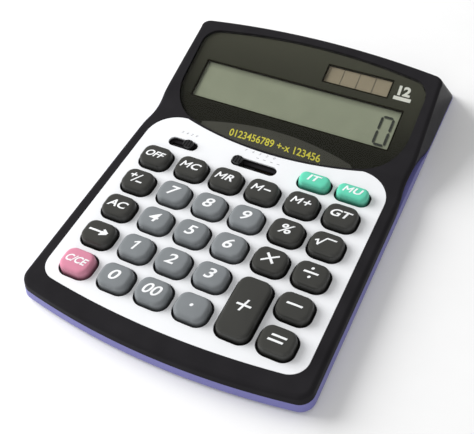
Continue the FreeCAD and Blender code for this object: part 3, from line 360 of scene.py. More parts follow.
def roof_z(y, drop=0.0):
    """The case's top from front to back: level, a round fold and the head's slope."""
    fold = FOLD_Y + drop * math.tan(TILT / 2)
    run = (FOLD_RADIUS + drop) * math.tan(TILT / 2)
    deck = PLATE_TOP - drop
    if y <= fold - run:
        return deck
    if y < fold + run * math.cos(TILT):
        radius = FOLD_RADIUS + drop
        return deck + radius - math.sqrt(radius ** 2 - (y - fold + run) ** 2)
    return deck + (y - fold) * math.tan(TILT)


def slope_z(y, drop):
    """The head's flat slope, dropped square to itself."""
    return PLATE_TOP - drop / math.cos(TILT) + (y - FOLD_Y) * math.tan(TILT)


def parting_z(y):
    """The parting line, with its wave where the head starts."""
    fall = FRONT_PARTING - BACK_PARTING
    radius = (WAVE_LENGTH ** 2 + fall ** 2) / (4 * fall)
    along = min(max(y - WAVE_START, 0), WAVE_LENGTH)
    if along <= WAVE_LENGTH / 2:
        return FRONT_PARTING - radius + math.sqrt(radius ** 2 - along ** 2)
    return BACK_PARTING + radius - math.sqrt(radius ** 2 - (WAVE_LENGTH - along) ** 2)


def lens_top(x, y):
    """The pane's slope, and the crowned lip in front of it."""
    return max(slope_z(y, LENS_SINK), PLATE_TOP + LIP_HEIGHT - x ** 2 / (2 * LIP_CROWN))


def lens_under(x, y):
    return max(LENS_SEAT, slope_z(y, LENS_SINK + LENS_THICKNESS))


def crease_y(x):
    """Where the lens's lip meets its pane."""
    rise = LIP_HEIGHT - x ** 2 / (2 * LIP_CROWN) + LENS_SINK / math.cos(TILT)
    return FOLD_Y + rise / math.tan(TILT)


def scooped(point, z, grow=0.0):
    """The point of the top shell's wall, pushed in at the waist."""
    radius = SCOOP_RADIUS + grow + (FRONT_PARTING - z) * math.tan(SCOOP_FLARE)
    centre = CASE_SIDE - (FRONT_PARTING - FOOT) * math.tan(DRAFT) - SCOOP_DEPTH + SCOOP_RADIUS
    along = point.y - SCOOP_Y
    if abs(along) >= radius or abs(point.x) < LENS_SIDE:
        return point
    over = abs(point.x) - (centre - math.sqrt(radius ** 2 - along ** 2))
    push = (over + math.sqrt(over ** 2 + SCOOP_BLEND ** 2)) / 2
    fade = min(1.0, max(0.0, 1 + over / SCOOP_FADE))
    return Vector((point.x - math.copysign(push * fade, point.x), point.y))


# Mesh building


def inside(point, loop):
    """True if the point is inside the closed loop."""
    x, y = point
    within = False
    before = loop[-1]
    for here in loop:
        if (here.y > y) != (before.y > y):
            if x < (before.x - here.x) * (y - here.y) / (before.y - here.y) + here.x:
                within = not within
        before = here
    return within


def filled(loops, extra_edges=(), spots=()):
    """Triangles, as triples of points, inside the first loop and outside the others."""
    points, edges = [], []
    for loop in loops:
        first = len(points)
        points += loop
        edges += [(first + n, first + (n + 1) % len(loop)) for n in range(len(loop))]
    for start, stop in extra_edges:
        edges.append((len(points), len(points) + 1))
        points += [start, stop]
    points = points + [Vector(s) for s in spots]
    found, _, triangles, *_ = delaunay_2d_cdt(points, edges, [], 0, 1e-5, False)
    spans = [(min(p.x for p in h), max(p.x for p in h), min(p.y for p in h), max(p.y for p in h), h)
             for h in loops[1:]]
    kept = []
    for corners in triangles:
        three = [found[n] for n in corners]
        middle = (three[0] + three[1] + three[2]) / 3
        if not inside(middle, loops[0]):
            continue
        if any(a < middle.x < b and c < middle.y < d and inside(middle, h) for a, b, c, d, h in spans):
            continue
        kept.append(three)
    return kept


def raised(points, height):
    return [Vector((p.x, p.y, height(p.x, p.y))) for p in points]


def strips(rings):
    """Four-sided faces between rings that follow each other."""
    faces = []
    for lower, upper in zip(rings, rings[1:]):
        for n in range(len(lower)):
            after = (n + 1) % len(lower)
            faces.append([lower[n], lower[after], upper[after], upper[n]])
    return faces


def quarter_round(radius, steps=4):
    """(inset, drop) pairs up a rounded edge, from its side to its top."""
    pairs = []
    for n in range(steps + 1):
        angle = math.pi / 2 * n / steps
        pairs.append((radius * (1 - math.cos(angle)), radius * (1 - math.sin(angle))))
    return pairs


def column(outer, low, high, holes=(), edge=None, extra_edges=(), spots=()):
    """A solid between two surfaces: low and high are functions of x and y. edge rounds its top rim."""
    outlines = [outer] + [as_hole(h) for h in holes]
    steps = edge or [(0.0, 0.0)]
    faces = []
    for outline in outlines:
        rings = [raised(moved(outline, 0), low)]
        for inset, drop in steps:
            rings.append(raised(moved(outline, inset), lambda x, y: high(x, y) - drop))
        faces += strips(rings)
    top = filled([moved(o, steps[-1][0]) for o in outlines], extra_edges, spots)
    faces += [raised(t, high) for t in top]
    bottom = filled([moved(o, 0) for o in outlines], extra_edges, spots)
    faces += [raised(t, low) for t in bottom]
    return faces


def level(z):
    return lambda x, y: z


def linked(thing):
    bpy.context.scene.collection.objects.link(thing)
    return thing


def mesh_of(name, faces):
    """An object from loose faces in millimetres, joined where they meet."""
    mesh = bpy.data.meshes.new(name)
    build = bmesh.new()
    for face in faces:
        corners = [build.verts.new(Vector(p) * MM) for p in face]
        build.faces.new(corners)
    bmesh.ops.remove_doubles(build, verts=build.verts, dist=2e-6)
    bmesh.ops.dissolve_degenerate(build, dist=1e-7, edges=build.edges)
    bmesh.ops.recalc_face_normals(build, faces=build.faces)
    build.to_mesh(mesh)
    build.free()
    return linked(bpy.data.objects.new(name, mesh))


def combine(thing, tool, operation="DIFFERENCE"):
    """Cuts the tool from a thing, or joins it on, and removes the tool."""
    cut = thing.modifiers.new("cut", "BOOLEAN")
    cut.operation = operation
    cut.solver = "MANIFOLD"
    cut.object = tool
    graph = bpy.context.evaluated_depsgraph_get()
    mesh = bpy.data.meshes.new_from_object(thing.evaluated_get(graph))
    thing.modifiers.clear()
    thing.data = mesh
    bpy.data.objects.remove(tool)
    return thing


def shaded(thing, angle=32.0):
    """Smooth faces with crisp edges where they turn by more than the angle."""
    build = bmesh.new()
    build.from_mesh(thing.data)
    for face in build.faces:
        face.smooth = True
    for edge in build.edges:
        edge.smooth = len(edge.link_faces) == 2 and edge.calc_face_angle(0.0) < math.radians(angle)
    build.to_mesh(thing.data)
    build.free()
    weighted = thing.modifiers.new("weighted", "WEIGHTED_NORMAL")
    weighted.keep_sharp = True
    return thing


def dressed(thing, look, nodes=(), body="case"):
    """Gives a piece its material, its body and the nodes it stands for."""
    thing.data.materials.clear()
    thing.data.materials.append(look)
    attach(thing, body)
    if nodes:
        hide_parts(*nodes)
    return thing


# Materials


def feed(tree, socket, source):
    """Sets a socket to a number, or links it to another node's socket."""
    if isinstance(source, bpy.types.NodeSocket):
        tree.links.new(source, socket)
    else:
        socket.default_value = source


def added(tree, kind, **inputs):
    """A new node with its inputs fed."""
    made = tree.nodes.new(f"ShaderNode{kind}")
    for name, source in inputs.items():
        feed(tree, made.inputs[name.replace("_", " ")], source)
    return made


def noise(tree, point, size, detail=2.0):
    """Noise whose features are about size millimetres across."""
    return added(tree, "TexNoise", Scale=1 / (size * MM), Detail=detail, Vector=point).outputs["Fac"]


def material(name, colour, rough=0.4, blotch=0.03, grain=0.3, grain_size=0.25, paint=None, **sockets):
    """Moulded or rolled stock: colour and gloss drift slowly, and a fine grain breaks the surface."""
    made = bpy.data.materials.new(name)
    made.use_nodes = True
    tree = made.node_tree
    shader = tree.nodes["Principled BSDF"]
    for socket, number in sockets.items():
        feed(tree, shader.inputs[socket.replace("_", " ")], number)
    point = tree.nodes.new("ShaderNodeTexCoord").outputs["Object"]

    shades = added(tree, "ValToRGB", Fac=noise(tree, point, 14))
    for stop, share, place in zip(shades.color_ramp.elements, (1 - blotch, 1 + blotch), (0.3, 0.7)):
        stop.position = place
        stop.color = (*(min(1.0, c * share) for c in colour), 1.0)
    coat = shades.outputs["Color"]
    if paint:
        coat = paint(tree, point, coat)
    feed(tree, shader.inputs["Base Color"], coat)

    scuff = noise(tree, point, 4, detail=6.0)
    gloss = added(tree, "MapRange", To_Min=rough * 0.85, To_Max=rough * 1.15, Value=scuff)
    feed(tree, shader.inputs["Roughness"], gloss.outputs["Result"])

    bump = added(tree, "Bump", Strength=grain, Distance=0.02 * MM, Height=noise(tree, point, grain_size))
    feed(tree, shader.inputs["Normal"], bump.outputs["Normal"])
    return made


def place_along(tree, point):
    """The sockets X, Y and Z of a point's place."""
    return added(tree, "SeparateXYZ", Vector=point).outputs


def ink_shades(tree, point, coat):
    """The ink's colour, darker towards the front, with fine upright stripes that come in to the right."""
    place = place_along(tree, point)
    climb = ranged(tree, place["Y"], FOLD_Y + 8, LENS_BACK, 0.26)
    across = ranged(tree, place["X"], 5, 45, 0.0, STRIPE_SHARE)
    angle = calculate(tree, "MULTIPLY", place["X"], 2 * math.pi / (STRIPE_PITCH * MM))
    stripe = calculate(tree, "MULTIPLY", calculate(tree, "SINE", angle, 0.0), across)
    return scaled(tree, coat, calculate(tree, "MULTIPLY", climb, calculate(tree, "ADD", stripe, 1.0)))


def side_shade(tree, point, coat):
    """Painted shade: a key's colour, darker down its sides towards the plate, where shade falls in the gap.
    """
    return scaled(tree, coat, ranged(tree, place_along(tree, point)["Z"], PLATE_TOP, PLATE_TOP + 2.2, 0.35))


def edge_shade(tree, point, coat):
    """Painted shadow: the display's colour, darker along its left and back edges, where the bezel's shadow
    falls.
    """
    place = place_along(tree, point)
    left, _, _, high = DISPLAY
    back = FOLD_Y + high * math.cos(TILT)
    across = ranged(tree, place["X"], left, left + 2.6, 0.55)
    along = ranged(tree, place["Y"], back + 0.6, back - 2.4, 0.55)
    return scaled(tree, coat, calculate(tree, "MULTIPLY", across, along))


def ranged(tree, place, start, stop, least, most=1.0):
    """A place in metres, turned into a share from least to most between two places in millimetres."""
    return added(tree, "MapRange", Value=place, From_Min=start * MM, From_Max=stop * MM, To_Min=least,
                 To_Max=most).outputs["Result"]


def scaled(tree, coat, share):
    """A colour times a share."""
    tint = added(tree, "VectorMath", Vector=coat)
    tint.operation = "SCALE"
    feed(tree, tint.inputs["Scale"], share)
    return tint.outputs["Vector"]


def calculate(tree, operation, first, second):
    """A math node's result. The second value is a number or another node's socket."""
    step = added(tree, "Math")
    step.operation = operation
    for socket, source in zip(step.inputs, (first, second)):
        feed(tree, socket, source)
    return step.outputs["Value"]


shell_black = material("shell_black", (0.020, 0.019, 0.021), rough=0.3, grain=0.15, blotch=0.1, IOR=1.07)
shell_blue = material("shell_blue", (0.165, 0.16, 0.44), rough=0.42, grain=0.5, blotch=0.02)
plate_white = material("plate_white", (0.84, 0.85, 0.87), rough=0.38, grain=0.2, blotch=0.01)
knob_black = material("knob_black", (0.010, 0.010, 0.011), rough=0.25, grain=0.3)
print_white, print_pale, print_grey, print_yellow = [
    material(name, colour, rough=0.5, grain=0.2, blotch=0.02) for name, colour in (
        ("print_white", (0.86, 0.87, 0.88)), ("print_pale", (0.68, 0.69, 0.63)),
        ("print_grey", (0.34, 0.34, 0.36)), ("print_yellow", (0.60, 0.55, 0.06)))]
lcd_dark = material("lcd_dark", (0.03, 0.034, 0.03), rough=0.4, grain=0.1)
# Painted shadow: the colour of the digit's shadow on the reflector behind it.
lcd_painted_shadow = material("lcd_painted_shadow", (0.135, 0.15, 0.105), rough=0.5, grain=0.1)
# The display carries a painted shadow of the bezel along its left and back edges.
lcd_glass = material("lcd_glass", (0.262, 0.286, 0.212), rough=0.3, grain=0.1, blotch=0.04,
                     paint=edge_shade, Specular_IOR_Level=0.2)
solar_glass = material("solar_glass", (0.29, 0.25, 0.18), rough=0.3, grain=0.1, Specular_IOR_Level=0.2)
board_brown = material("board_brown", (0.32, 0.22, 0.09), rough=0.5)
film_amber = material("film_amber", (0.45, 0.25, 0.07), rough=0.35)
epoxy_black = material("epoxy_black", (0.01, 0.01, 0.01), rough=0.3)
inner_black = material("inner_black", (0.02, 0.02, 0.02), rough=0.5)
mat_rubber = material("mat_rubber", (0.6, 0.6, 0.58), rough=0.65)
foot_rubber = material("foot_rubber", (0.022, 0.022, 0.024), rough=0.75, grain=0.8, grain_size=0.4)
steel = material("steel", (0.55, 0.55, 0.56), rough=0.3, grain=0.3, Metallic=1.0)
spring_steel = material("spring_steel", (0.62, 0.6, 0.55), rough=0.28, grain=0.3, Metallic=1.0)
cell_steel = material("cell_steel", (0.72, 0.72, 0.72), rough=0.18, grain=0.15, Metallic=1.0)
lens_clear = material("lens_clear", (0.88, 0.88, 0.85), rough=0.0, blotch=0.01, grain=0.0,
                      Transmission_Weight=1.0, IOR=1.2)
lens_print = material("lens_print", (0.062, 0.063, 0.047), rough=0.6, grain=0.0, paint=ink_shades,
                      Specular_IOR_Level=0.0)
lens_lip = material("lens_lip", (0.060, 0.060, 0.050), rough=0.6, grain=0.0, Specular_IOR_Level=0.0)
lens_border = material("lens_border", (0.008, 0.007, 0.004), rough=0.6, grain=0.3, Specular_IOR_Level=0.0)

# Case


def case_blank(name, inset=0.0, back_inset=0.0, low=FOOT, drop=0.0, rim=RIM, base=BASE_RIM, waist=True,
               grow=0.0):
    """The case's tapered block under its roof, with a rounded rim and a rounded foot."""
    foot_outline = case_outline(low - FOOT, inset, back_inset)
    high_outline = case_outline(low - FOOT + TALL, inset, back_inset)
    columns = []
    for (foot_point, normal), (high_point, _) in zip(foot_outline, high_outline):

        def wall(z):
            flat = foot_point + (high_point - foot_point) * (z - low) / TALL
            return scooped(flat, z, grow) if waist else flat

        top = PLATE_TOP
        for _ in range(12):
            top = roof_z(wall(top).y, drop)
        corner = wall(top)
        rise = Vector(((wall(top - 1) - corner).dot(normal), 1.0)).normalized()
        inwards = Vector((1.0, roof_z(corner.y - normal.y, drop) - top)).normalized()
        spread = math.acos(-rise.dot(inwards))
        reach = rim / math.tan(spread / 2)
        pillar = []
        for tuck, fall in foot_round(base):
            z = low + base - fall
            pillar.append((wall(z) - normal * tuck, z))
        start_z, end_z = low + base, top - reach * rise.y
        for n in range(1, SIDE_ROWS):
            z = start_z + (end_z - start_z) * n / SIDE_ROWS
            pillar.append((wall(z), z))
        if rim:
            centre = (inwards - rise).normalized() * (rim / math.sin(spread / 2))
            first, last = -rise * reach - centre, inwards * reach - centre
            swing = first.angle(last)
            for n in range(RIM_STEPS + 1):
                share = n / RIM_STEPS
                spoke = first * math.sin((1 - share) * swing) + last * math.sin(share * swing)
                offset = centre + spoke / math.sin(swing)
                pillar.append((corner - normal * offset.x, top + offset.y))
            edge = pillar[-1][0]
            pillar[-1] = (edge, roof_z(edge.y, drop))
        else:
            pillar.append((corner, top))
        columns.append([Vector((p.x, p.y, z)) for p, z in pillar])
    rings = [list(ring) for ring in zip(*columns)]
    faces = strips(rings)
    faces += [raised(t, level(low)) for t in filled([[p.xy for p in rings[0]]])]
    loop = [p.xy for p in rings[-1]]
    run = (FOLD_RADIUS + drop) * math.tan(TILT / 2)
    fold = FOLD_Y + drop * math.tan(TILT / 2)
    spots = []
    for n in range(ROOF_ROWS + 1):
        y = fold - run + run * (1 + math.cos(TILT)) * n / ROOF_ROWS
        spots += [Vector((x, y)) for x in ROOF_COLUMNS]
    spots = [s for s in spots if inside(s, loop)]
    faces += [raised(t, lambda x, y: roof_z(y, drop)) for t in filled([loop], (), spots)]
    return mesh_of(name, faces)


def foot_round(radius, steps=4):
    """(inset, drop) pairs up a rounded foot, from its underside to its wall."""
    if not radius:
        return [(0.0, 0.0)]
    angles = [math.pi / 2 * n / steps for n in range(steps + 1)]
    return [(radius * (1 - math.sin(a)), radius * math.cos(a)) for a in angles]


def case_room():
    """The room inside the case, a wall's thickness in from its form."""
    return case_blank("tool", WALL, WALL / math.cos(BACK_LEAN), FOOT + FLOOR, ROOF, 0.0, 0.0, grow=WALL)


def parting_block():
    """All that lies below the parting line."""
    ys = [-FAR] + [WAVE_START + WAVE_LENGTH * n / WAVE_STEPS for n in range(WAVE_STEPS + 1)] + [FAR]
    profile = [(-FAR, -FAR)] + [(y, parting_z(y)) for y in ys] + [(FAR, -FAR)]
    left, right = [[Vector((x, y, z)) for y, z in profile] for x in (-FAR, FAR)]
    return mesh_of("tool", strips([left, right]) + [left, right])


def prisms(outlines, low, high):
    """A cutting tool: upright blocks with the given outlines."""
    faces = []
    for outline in outlines:
        faces += column(outline, level(low), level(high))
    return mesh_of("tool", faces)


def prism(outline, low, high):
    return prisms([outline], low, high)


HEAD = Matrix.Translation((0, FOLD_Y, PLATE_TOP)) @ Matrix.Rotation(TILT, 4, "X")


def head_plate(points, bottom, top):
    """A plate on the head, from places across and up its slope, and two rises off its surface."""
    lower, upper = [[HEAD @ Vector((x, up, rise)) for x, up in points] for rise in (bottom, top)]
    return strips([lower, upper]) + [lower, upper]


def depth_of(node):
    """How far a node's upper face lies under the head's surface."""
    back = HEAD.inverted()
    return -max((back @ (v.co / MM)).z for v in frame["nodes"][node].data.vertices)


KEY_NODES = [n for n in frame["nodes"] if n.startswith("key_")]


def middle_of(node):
    low, high = box_of(node)
    return (low.x + high.x) / 2, (low.y + high.y) / 2


def key_plan(node):
    """A key's centre, width, depth and corner at the deck."""
    low, high = box_of(node)
    width = high.x - low.x - 2 * FLANGE_MARGIN
    depth = high.y - low.y - 2 * FLANGE_MARGIN
    corner = SHORT_CORNER if depth < SHORT_DEPTH else KEY_CORNER
    return *middle_of(node), width, depth, corner


def key_outline(node, grow):
    x, y, width, depth, corner = key_plan(node)
    return rounded(x, y, width + 2 * grow, depth + 2 * grow, corner + grow)


def seat_edges(outline):
    """The line where the lens's underside leaves its level seat."""
    y = FOLD_Y + ((LENS_SINK + LENS_THICKNESS) / math.cos(TILT) - (PLATE_TOP - LENS_SEAT)) / math.tan(TILT)
    xs = []
    loop = moved(outline, 0)
    for a, b in zip(loop, loop[1:] + loop[:1]):
        if (a.y - y) * (b.y - y) < 0:
            xs.append(a.x + (b.x - a.x) * (y - a.y) / (b.y - a.y))
    return [(Vector((min(xs) + SEAT_STOP, y)), Vector((max(xs) - SEAT_STOP, y)))]


def top_shell():
    """The black upper half, with its recesses, key openings, switch tracks and windows."""
    shell = case_blank("top_case")
    combine(shell, parting_block())
    combine(shell, case_room())
    combine(shell, prism(widened(plate_outline(), PLATE_GAP), PLATE_UNDER, SKY))
    recess = widened(lens_outline, LENS_GAP)
    faces = column(recess, lambda x, y: lens_under(x, y) - HAIR, level(SKY), extra_edges=seat_edges(recess))
    combine(shell, mesh_of("tool", faces))
    openings = [key_outline(n, KEY_GUIDE) for n in KEY_NODES]
    combine(shell, prisms(openings, DECK_BELOW, DECK_ABOVE))
    tracks, slits = [], []
    for x, width in SLOTS.values():
        width -= 2 * SLOT_LIP
        tracks.append(rounded(x, SLOT_Y, width, SLOT_DEPTH - 2 * SLOT_LIP, SLOT_CORNER - SLOT_LIP))
        slits.append(rounded(x, SLOT_Y, width - KNOB_WIDTH + STEM_WIDTH, SLIT_DEPTH, SLIT_CORNER))
    combine(shell, prisms(tracks, PLATE_TOP - ROOF + SLOT_FLOOR, DECK_ABOVE))
    combine(shell, prisms(slits, DECK_BELOW, DECK_ABOVE))
    for left, right, start, stop in (DISPLAY, SOLAR):
        corners = [(left, start), (right, start), (right, stop), (left, stop)]
        combine(shell, mesh_of("tool", head_plate(corners, -WINDOW_CUT, 0.0)))
    dressed(shaded(shell), shell_black, ["top_shell"])


def circle(x, y, diameter, steps=48):
    return closed(turn(x, y, diameter / 2, 0, 360, steps))


def turned(x, y, profile, steps=48):
    """The faces of a round solid about an upright line, from its (radius, height) pairs."""
    rings = [raised(moved(circle(x, y, 2 * radius, steps), 0), level(z)) for radius, z in profile]
    return strips(rings) + [rings[0], rings[-1]]


def solid_places(node):
    """The centre of each separate solid of a node, seen from above."""
    build = bmesh.new()
    build.from_mesh(frame["nodes"][node].data)
    bmesh.ops.remove_doubles(build, verts=build.verts, dist=1e-6)
    left = set(build.verts)
    places = []
    while left:
        group, edge = set(), [left.pop()]
        while edge:
            vert = edge.pop()
            group.add(vert)
            others = left & {link.other_vert(vert) for link in vert.link_edges}
            left -= others
            edge += others
        xs, ys = [v.co.x for v in group], [v.co.y for v in group]
        places.append(((min(xs) + max(xs)) / 2 / MM, (min(ys) + max(ys)) / 2 / MM))
    build.free()
    return sorted(places)


def bottom_shell():
    """The blue lower half, with its battery bay, screw posts and the pockets of the feet."""
    shell = case_blank("bottom_case", waist=False)
    combine(shell, parting_block(), "INTERSECT")
    combine(shell, case_room())
    low, high = box_of("battery_cover")
    x, y = middle_of("battery_cover")
    width, depth = high.x - low.x + COVER_PLAY, high.y - low.y + COVER_PLAY
    room_width, room_depth = width - 2 * COVER_LEDGE, depth - 2 * COVER_LEDGE
    bay_top = FOOT + BAY_HEIGHT
    bay = rounded(x, y, room_width + 2 * BAY_WALL, room_depth + 2 * BAY_WALL, BAY_CORNER)
    combine(shell, prism(bay, FOOT + 1, bay_top + BAY_WALL), "UNION")
    screws = solid_places("case_screws")
    bosses = [circle(a, b, BOSS_WIDTH) for a, b in screws]
    combine(shell, prisms(bosses, FOOT + 1, FRONT_PARTING), "UNION")
    combine(shell, prism(rounded(x, y, room_width, room_depth, BAY_CORNER), 0.0, bay_top))
    combine(shell, prism(rounded(x, y, width, depth, BAY_CORNER), 0.0, FOOT + COVER_SEAT))
    sinks = [circle(a, b, SCREW_HEAD + SINK_PLAY) for a, b in screws]
    combine(shell, prisms(sinks, 0.0, FOOT + SINK_DEPTH))
    pockets = [circle(a, b, FOOT_WIDTH + SINK_PLAY) for a, b in solid_places("rubber_feet")]
    combine(shell, prisms(pockets, 0.0, FOOT + FOOT_RECESS))
    dressed(shaded(shell), shell_blue, ["bottom_shell"])


def keypad_plate():
    holes = [key_outline(n, KEY_REVEAL) for n in KEY_NODES]
    holes += [rounded(x, SLOT_Y, width, SLOT_DEPTH, SLOT_CORNER) for x, width in SLOTS.values()]
    edge = quarter_round(PLATE_EDGE, 3)
    faces = column(plate_outline(), level(PLATE_UNDER), level(PLATE_TOP), holes, edge)
    dressed(shaded(mesh_of("face_plate", faces)), plate_white, ["keypad_plate"])


# Lens


def lens_spots():
    """Points over the lip, so that its crown and the valley behind it come out round."""
    spots = []
    for n in range(-CREASE_HALF, CREASE_HALF + 1, CREASE_STEP):
        y = crease_y(n)
        spots.append((n, y))
        for back in LIP_ROWS:
            if y - back > LENS_FRONT + n ** 2 / (2 * LIP_BOW) + LIP_CLEAR:
                spots.append((n, y - back))
    return spots


def crease_edges():
    """The crease between lip and pane, as short straight lines."""
    starts = range(-CREASE_HALF, CREASE_HALF - 1, CREASE_STEP)
    return [(Vector((n, crease_y(n))), Vector((n + CREASE_STEP, crease_y(n + CREASE_STEP)))) for n in starts]


def display_lens():
    edge = quarter_round(LENS_EDGE, 8)
    faces = column(lens_outline, lens_under, lens_top, (), edge, crease_edges(), lens_spots())
    lens = dressed(shaded(mesh_of("lens", faces), 16.0), lens_clear, ["display_lens"])
    lens.visible_shadow = False


def head_rect(left, right, low, high):
    """A window's outline seen from above."""
    y_low, y_high = FOLD_Y + low * math.cos(TILT), FOLD_Y + high * math.cos(TILT)
    return rounded((left + right) / 2, (y_low + y_high) / 2, right - left, y_high - y_low, WINDOW_CORNER, 3)


def film_face(x, y):
    """The side of the ink that is seen."""
    return lens_top(x, y) - PRINT_DEPTH


def lens_film():
    """The ink in the back of the lens, open over the display and the solar cell, and paler on the lip."""
    shift = (LENS_SINK + PRINT_DEPTH) * math.sin(TILT)
    windows = [(left, right, low + shift, high + shift) for left, right, low, high in (DISPLAY, SOLAR)]
    holes = [head_rect(*w) for w in windows]
    outline = widened(lens_outline, -FILM_INSET)
    faces = column(outline, lambda x, y: lens_under(x, y) + HAIR, film_face, holes, None, crease_edges(),
                   lens_spots())
    film = dressed(shaded(mesh_of("lens_ink", faces), 12.0), lens_print)
    film.data.materials.append(lens_lip)
    for face in film.data.polygons:
        x, y, _ = face.center / MM
        face.material_index = int(abs(x) < CREASE_HALF and y < crease_y(x))
    for name, (left, right, low, high) in zip(("display_border", "solar_border"), windows):
        outer = head_rect(left - BORDER, right + BORDER, low - BORDER, high + BORDER)
        hole = head_rect(left, right, low, high)
        faces = column(outer, lambda x, y: film_face(x, y) + HAIR, lambda x, y: film_face(x, y) + 2 * HAIR,
                       [hole])
        dressed(mesh_of(name, faces), lens_border)


# Display and solar cell


def upright_segment(x, low, high, width):
    half = width / 2
    return [(x, low), (x + half, low + half), (x + half, high - half), (x, high), (x - half, high - half),
            (x - half, low + half)]


def level_segment(left, right, up, width):
    return [(x, y) for y, x in upright_segment(up, left, right, width)]


def display_digit():
    """The 0 at the right of the display, and a painted shadow of it: a darker copy on the reflector behind
    it, where its faint shadow falls.
    """
    left, right, low, high = DIGIT_PLACE
    middle = (low + high) / 2
    depth = depth_of("lcd_panel")
    shapes = [level_segment(left + SEGMENT_GAP, right - SEGMENT_GAP, up, SEGMENT) for up in (low, high)]
    for x in (left, right):
        shapes.append(upright_segment(x, low + SEGMENT_GAP, middle - SEGMENT_GAP, SEGMENT))
        shapes.append(upright_segment(x, middle + SEGMENT_GAP, high - SEGMENT_GAP, SEGMENT))
    # The first layer is a painted shadow: a darker copy of the segments, shifted, where their shadow falls.
    layers = (("digit_shadow", lcd_painted_shadow, SHADOW_SHIFT, SHADOW_RISE), ("digit", lcd_dark, 0.0, DIGIT_RISE))
    for name, look, shift, rise in layers:
        faces = []
        for shape in shapes:
            placed = [(x + shift, up - shift) for x, up in shape]
            faces += head_plate(placed, rise - depth, rise + FILM - depth)
        dressed(mesh_of(name, faces), look)


def solar_lines():
    """The thin lines between the solar cell's strips."""
    faces = []
    depth = depth_of("solar_cell")
    left, right, low, high = SOLAR
    for n in range(1, SOLAR_STRIPS):
        x = left + (right - left) * n / SOLAR_STRIPS
        line = upright_segment(x, low, high + 2 * CELL_LINE, CELL_LINE)
        faces += head_plate(line, 2 * HAIR - depth, 4 * HAIR - depth)
    dressed(mesh_of("cell_lines", faces), lcd_dark)


# Keys


def key_cap(node, look):
    """A crowned cap with softly rounded edges, on its flange. Returns the crown's height over the plate."""
    x, y, width, depth, corner = key_plan(node)
    low, high = box_of(node)
    outline = rounded(x, y, width, depth, corner, 12)
    deck = low.z + FLANGE
    top = high.z - KEY_CROWN

    def crown(px, py):
        u, v = (px - x) / (width / 2), (py - y) / (depth / 2)
        return high.z - KEY_CROWN * (1 - (1 - min(1, u * u)) * (1 - min(1, v * v)))

    rings = [raised(moved(outline, -FLANGE_MARGIN), level(low.z)),
             raised(moved(outline, -FLANGE_MARGIN), level(deck)),
             raised(moved(outline, 0), level(deck))]
    side_top = top - KEY_ROUND
    for n in range(1, KEY_SIDE_ROWS + 1):
        z = deck + (side_top - deck) * n / KEY_SIDE_ROWS
        rings.append(raised(moved(outline, (z - deck) * math.tan(KEY_DRAFT)), level(z)))
    lean = (side_top - deck) * math.tan(KEY_DRAFT)
    for n in range(1, KEY_ROUND_STEPS + 1):
        angle = math.pi / 2 * n / KEY_ROUND_STEPS
        ring = moved(outline, lean + KEY_ROUND * (1 - math.cos(angle)))
        lift = KEY_ROUND * math.sin(angle)
        share = n / KEY_ROUND_STEPS
        rings.append([Vector((p.x, p.y, side_top + lift + share * (crown(p.x, p.y) - top))) for p in ring])
    middle = Vector((x, y))
    rim = [p.xy for p in rings[-1]]
    for share in CROWN_RINGS:
        rings.append(raised([middle + (p - middle) * share for p in rim], crown))
    faces = strips(rings) + [rings[-1], rings[0]]
    dressed(shaded(mesh_of(f"{node}_cap", faces), 50.0), look, [node], f"{node}_body")
    return crown


def word_faces(text, size, stretch, weight, thickness):
    """A word's faces about its own middle, fine enough to follow a curved surface."""
    curve = bpy.data.curves.new("word", "FONT")
    curve.body = text
    curve.size = size
    curve.offset = weight
    curve.extrude = thickness
    holder = linked(bpy.data.objects.new("word", curve))
    graph = bpy.context.evaluated_depsgraph_get()
    build = bmesh.new()
    build.from_mesh(bpy.data.meshes.new_from_object(holder.evaluated_get(graph)))
    bpy.data.objects.remove(holder)
    bpy.data.curves.remove(curve)
    bmesh.ops.triangulate(build, faces=build.faces)
    bmesh.ops.subdivide_edges(build, edges=[e for e in build.edges if e.calc_length() > LONGEST_EDGE],
                               cuts=1)
    bmesh.ops.triangulate(build, faces=build.faces)
    xs, ys = [v.co.x for v in build.verts], [v.co.y for v in build.verts]
    middle = Vector(((min(xs) + max(xs)) / 2, (min(ys) + max(ys)) / 2, 0))
    faces = [[v.co - middle for v in f.verts] for f in build.faces]
    build.free()
    return [[Vector((p.x * stretch, p.y, p.z)) for p in face] for face in faces]


def bar_faces(start, stop, width=THIN, thickness=INK):
    """A straight stroke, cut across every millimetre."""
    start, stop = Vector(start), Vector(stop)
    run = stop - start
    side = Vector((-run.y, run.x)).normalized() * width / 2
    corners = ((side, thickness), (-side, thickness), (-side, -thickness), (side, -thickness))
    steps = max(1, round(run.length))
    rings = []
    for n in range(steps + 1):
        middle = start + run * n / steps
        rings.append([Vector((*(middle + shift), z)) for shift, z in corners])
    return strips(rings) + [rings[0], rings[-1]]


def marked(name, marks, place, surface, look, body, slant=SLANT, weight=0.0, thickness=INK):
    """Printed marks on a surface, about a place. A mark is a word with its place, size and stretch, or a
    stroke with its two ends and, unless it is thin, its width."""
    faces = []
    for mark in marks:
        if isinstance(mark[0], str):
            text, dx, dy, size, stretch = mark
            flat = word_faces(text, size, stretch, weight, thickness)
        else:
            dx, dy = 0.0, 0.0
            flat = bar_faces(*mark, thickness=thickness)
        for face in flat:
            corners = []
            for p in face:
                x, y = place[0] + dx + p.x + slant * p.y, place[1] + dy + p.y
                corners.append(Vector((x, y, surface(x, y) + FILM + p.z)))
            faces.append(corners)
    dressed(mesh_of(name, faces), look, (), body)


def letter_m(x, width, height):
    """The letter M as four strokes, about x."""
    half, top = width / 2 - THIN / 2, height / 2
    return [((x - half, -top), (x - half, top)), ((x - half, top - 0.3), (x, -top * 0.3)),
            ((x, -top * 0.3), (x + half, top - 0.3)), ((x + half, top), (x + half, -top))]


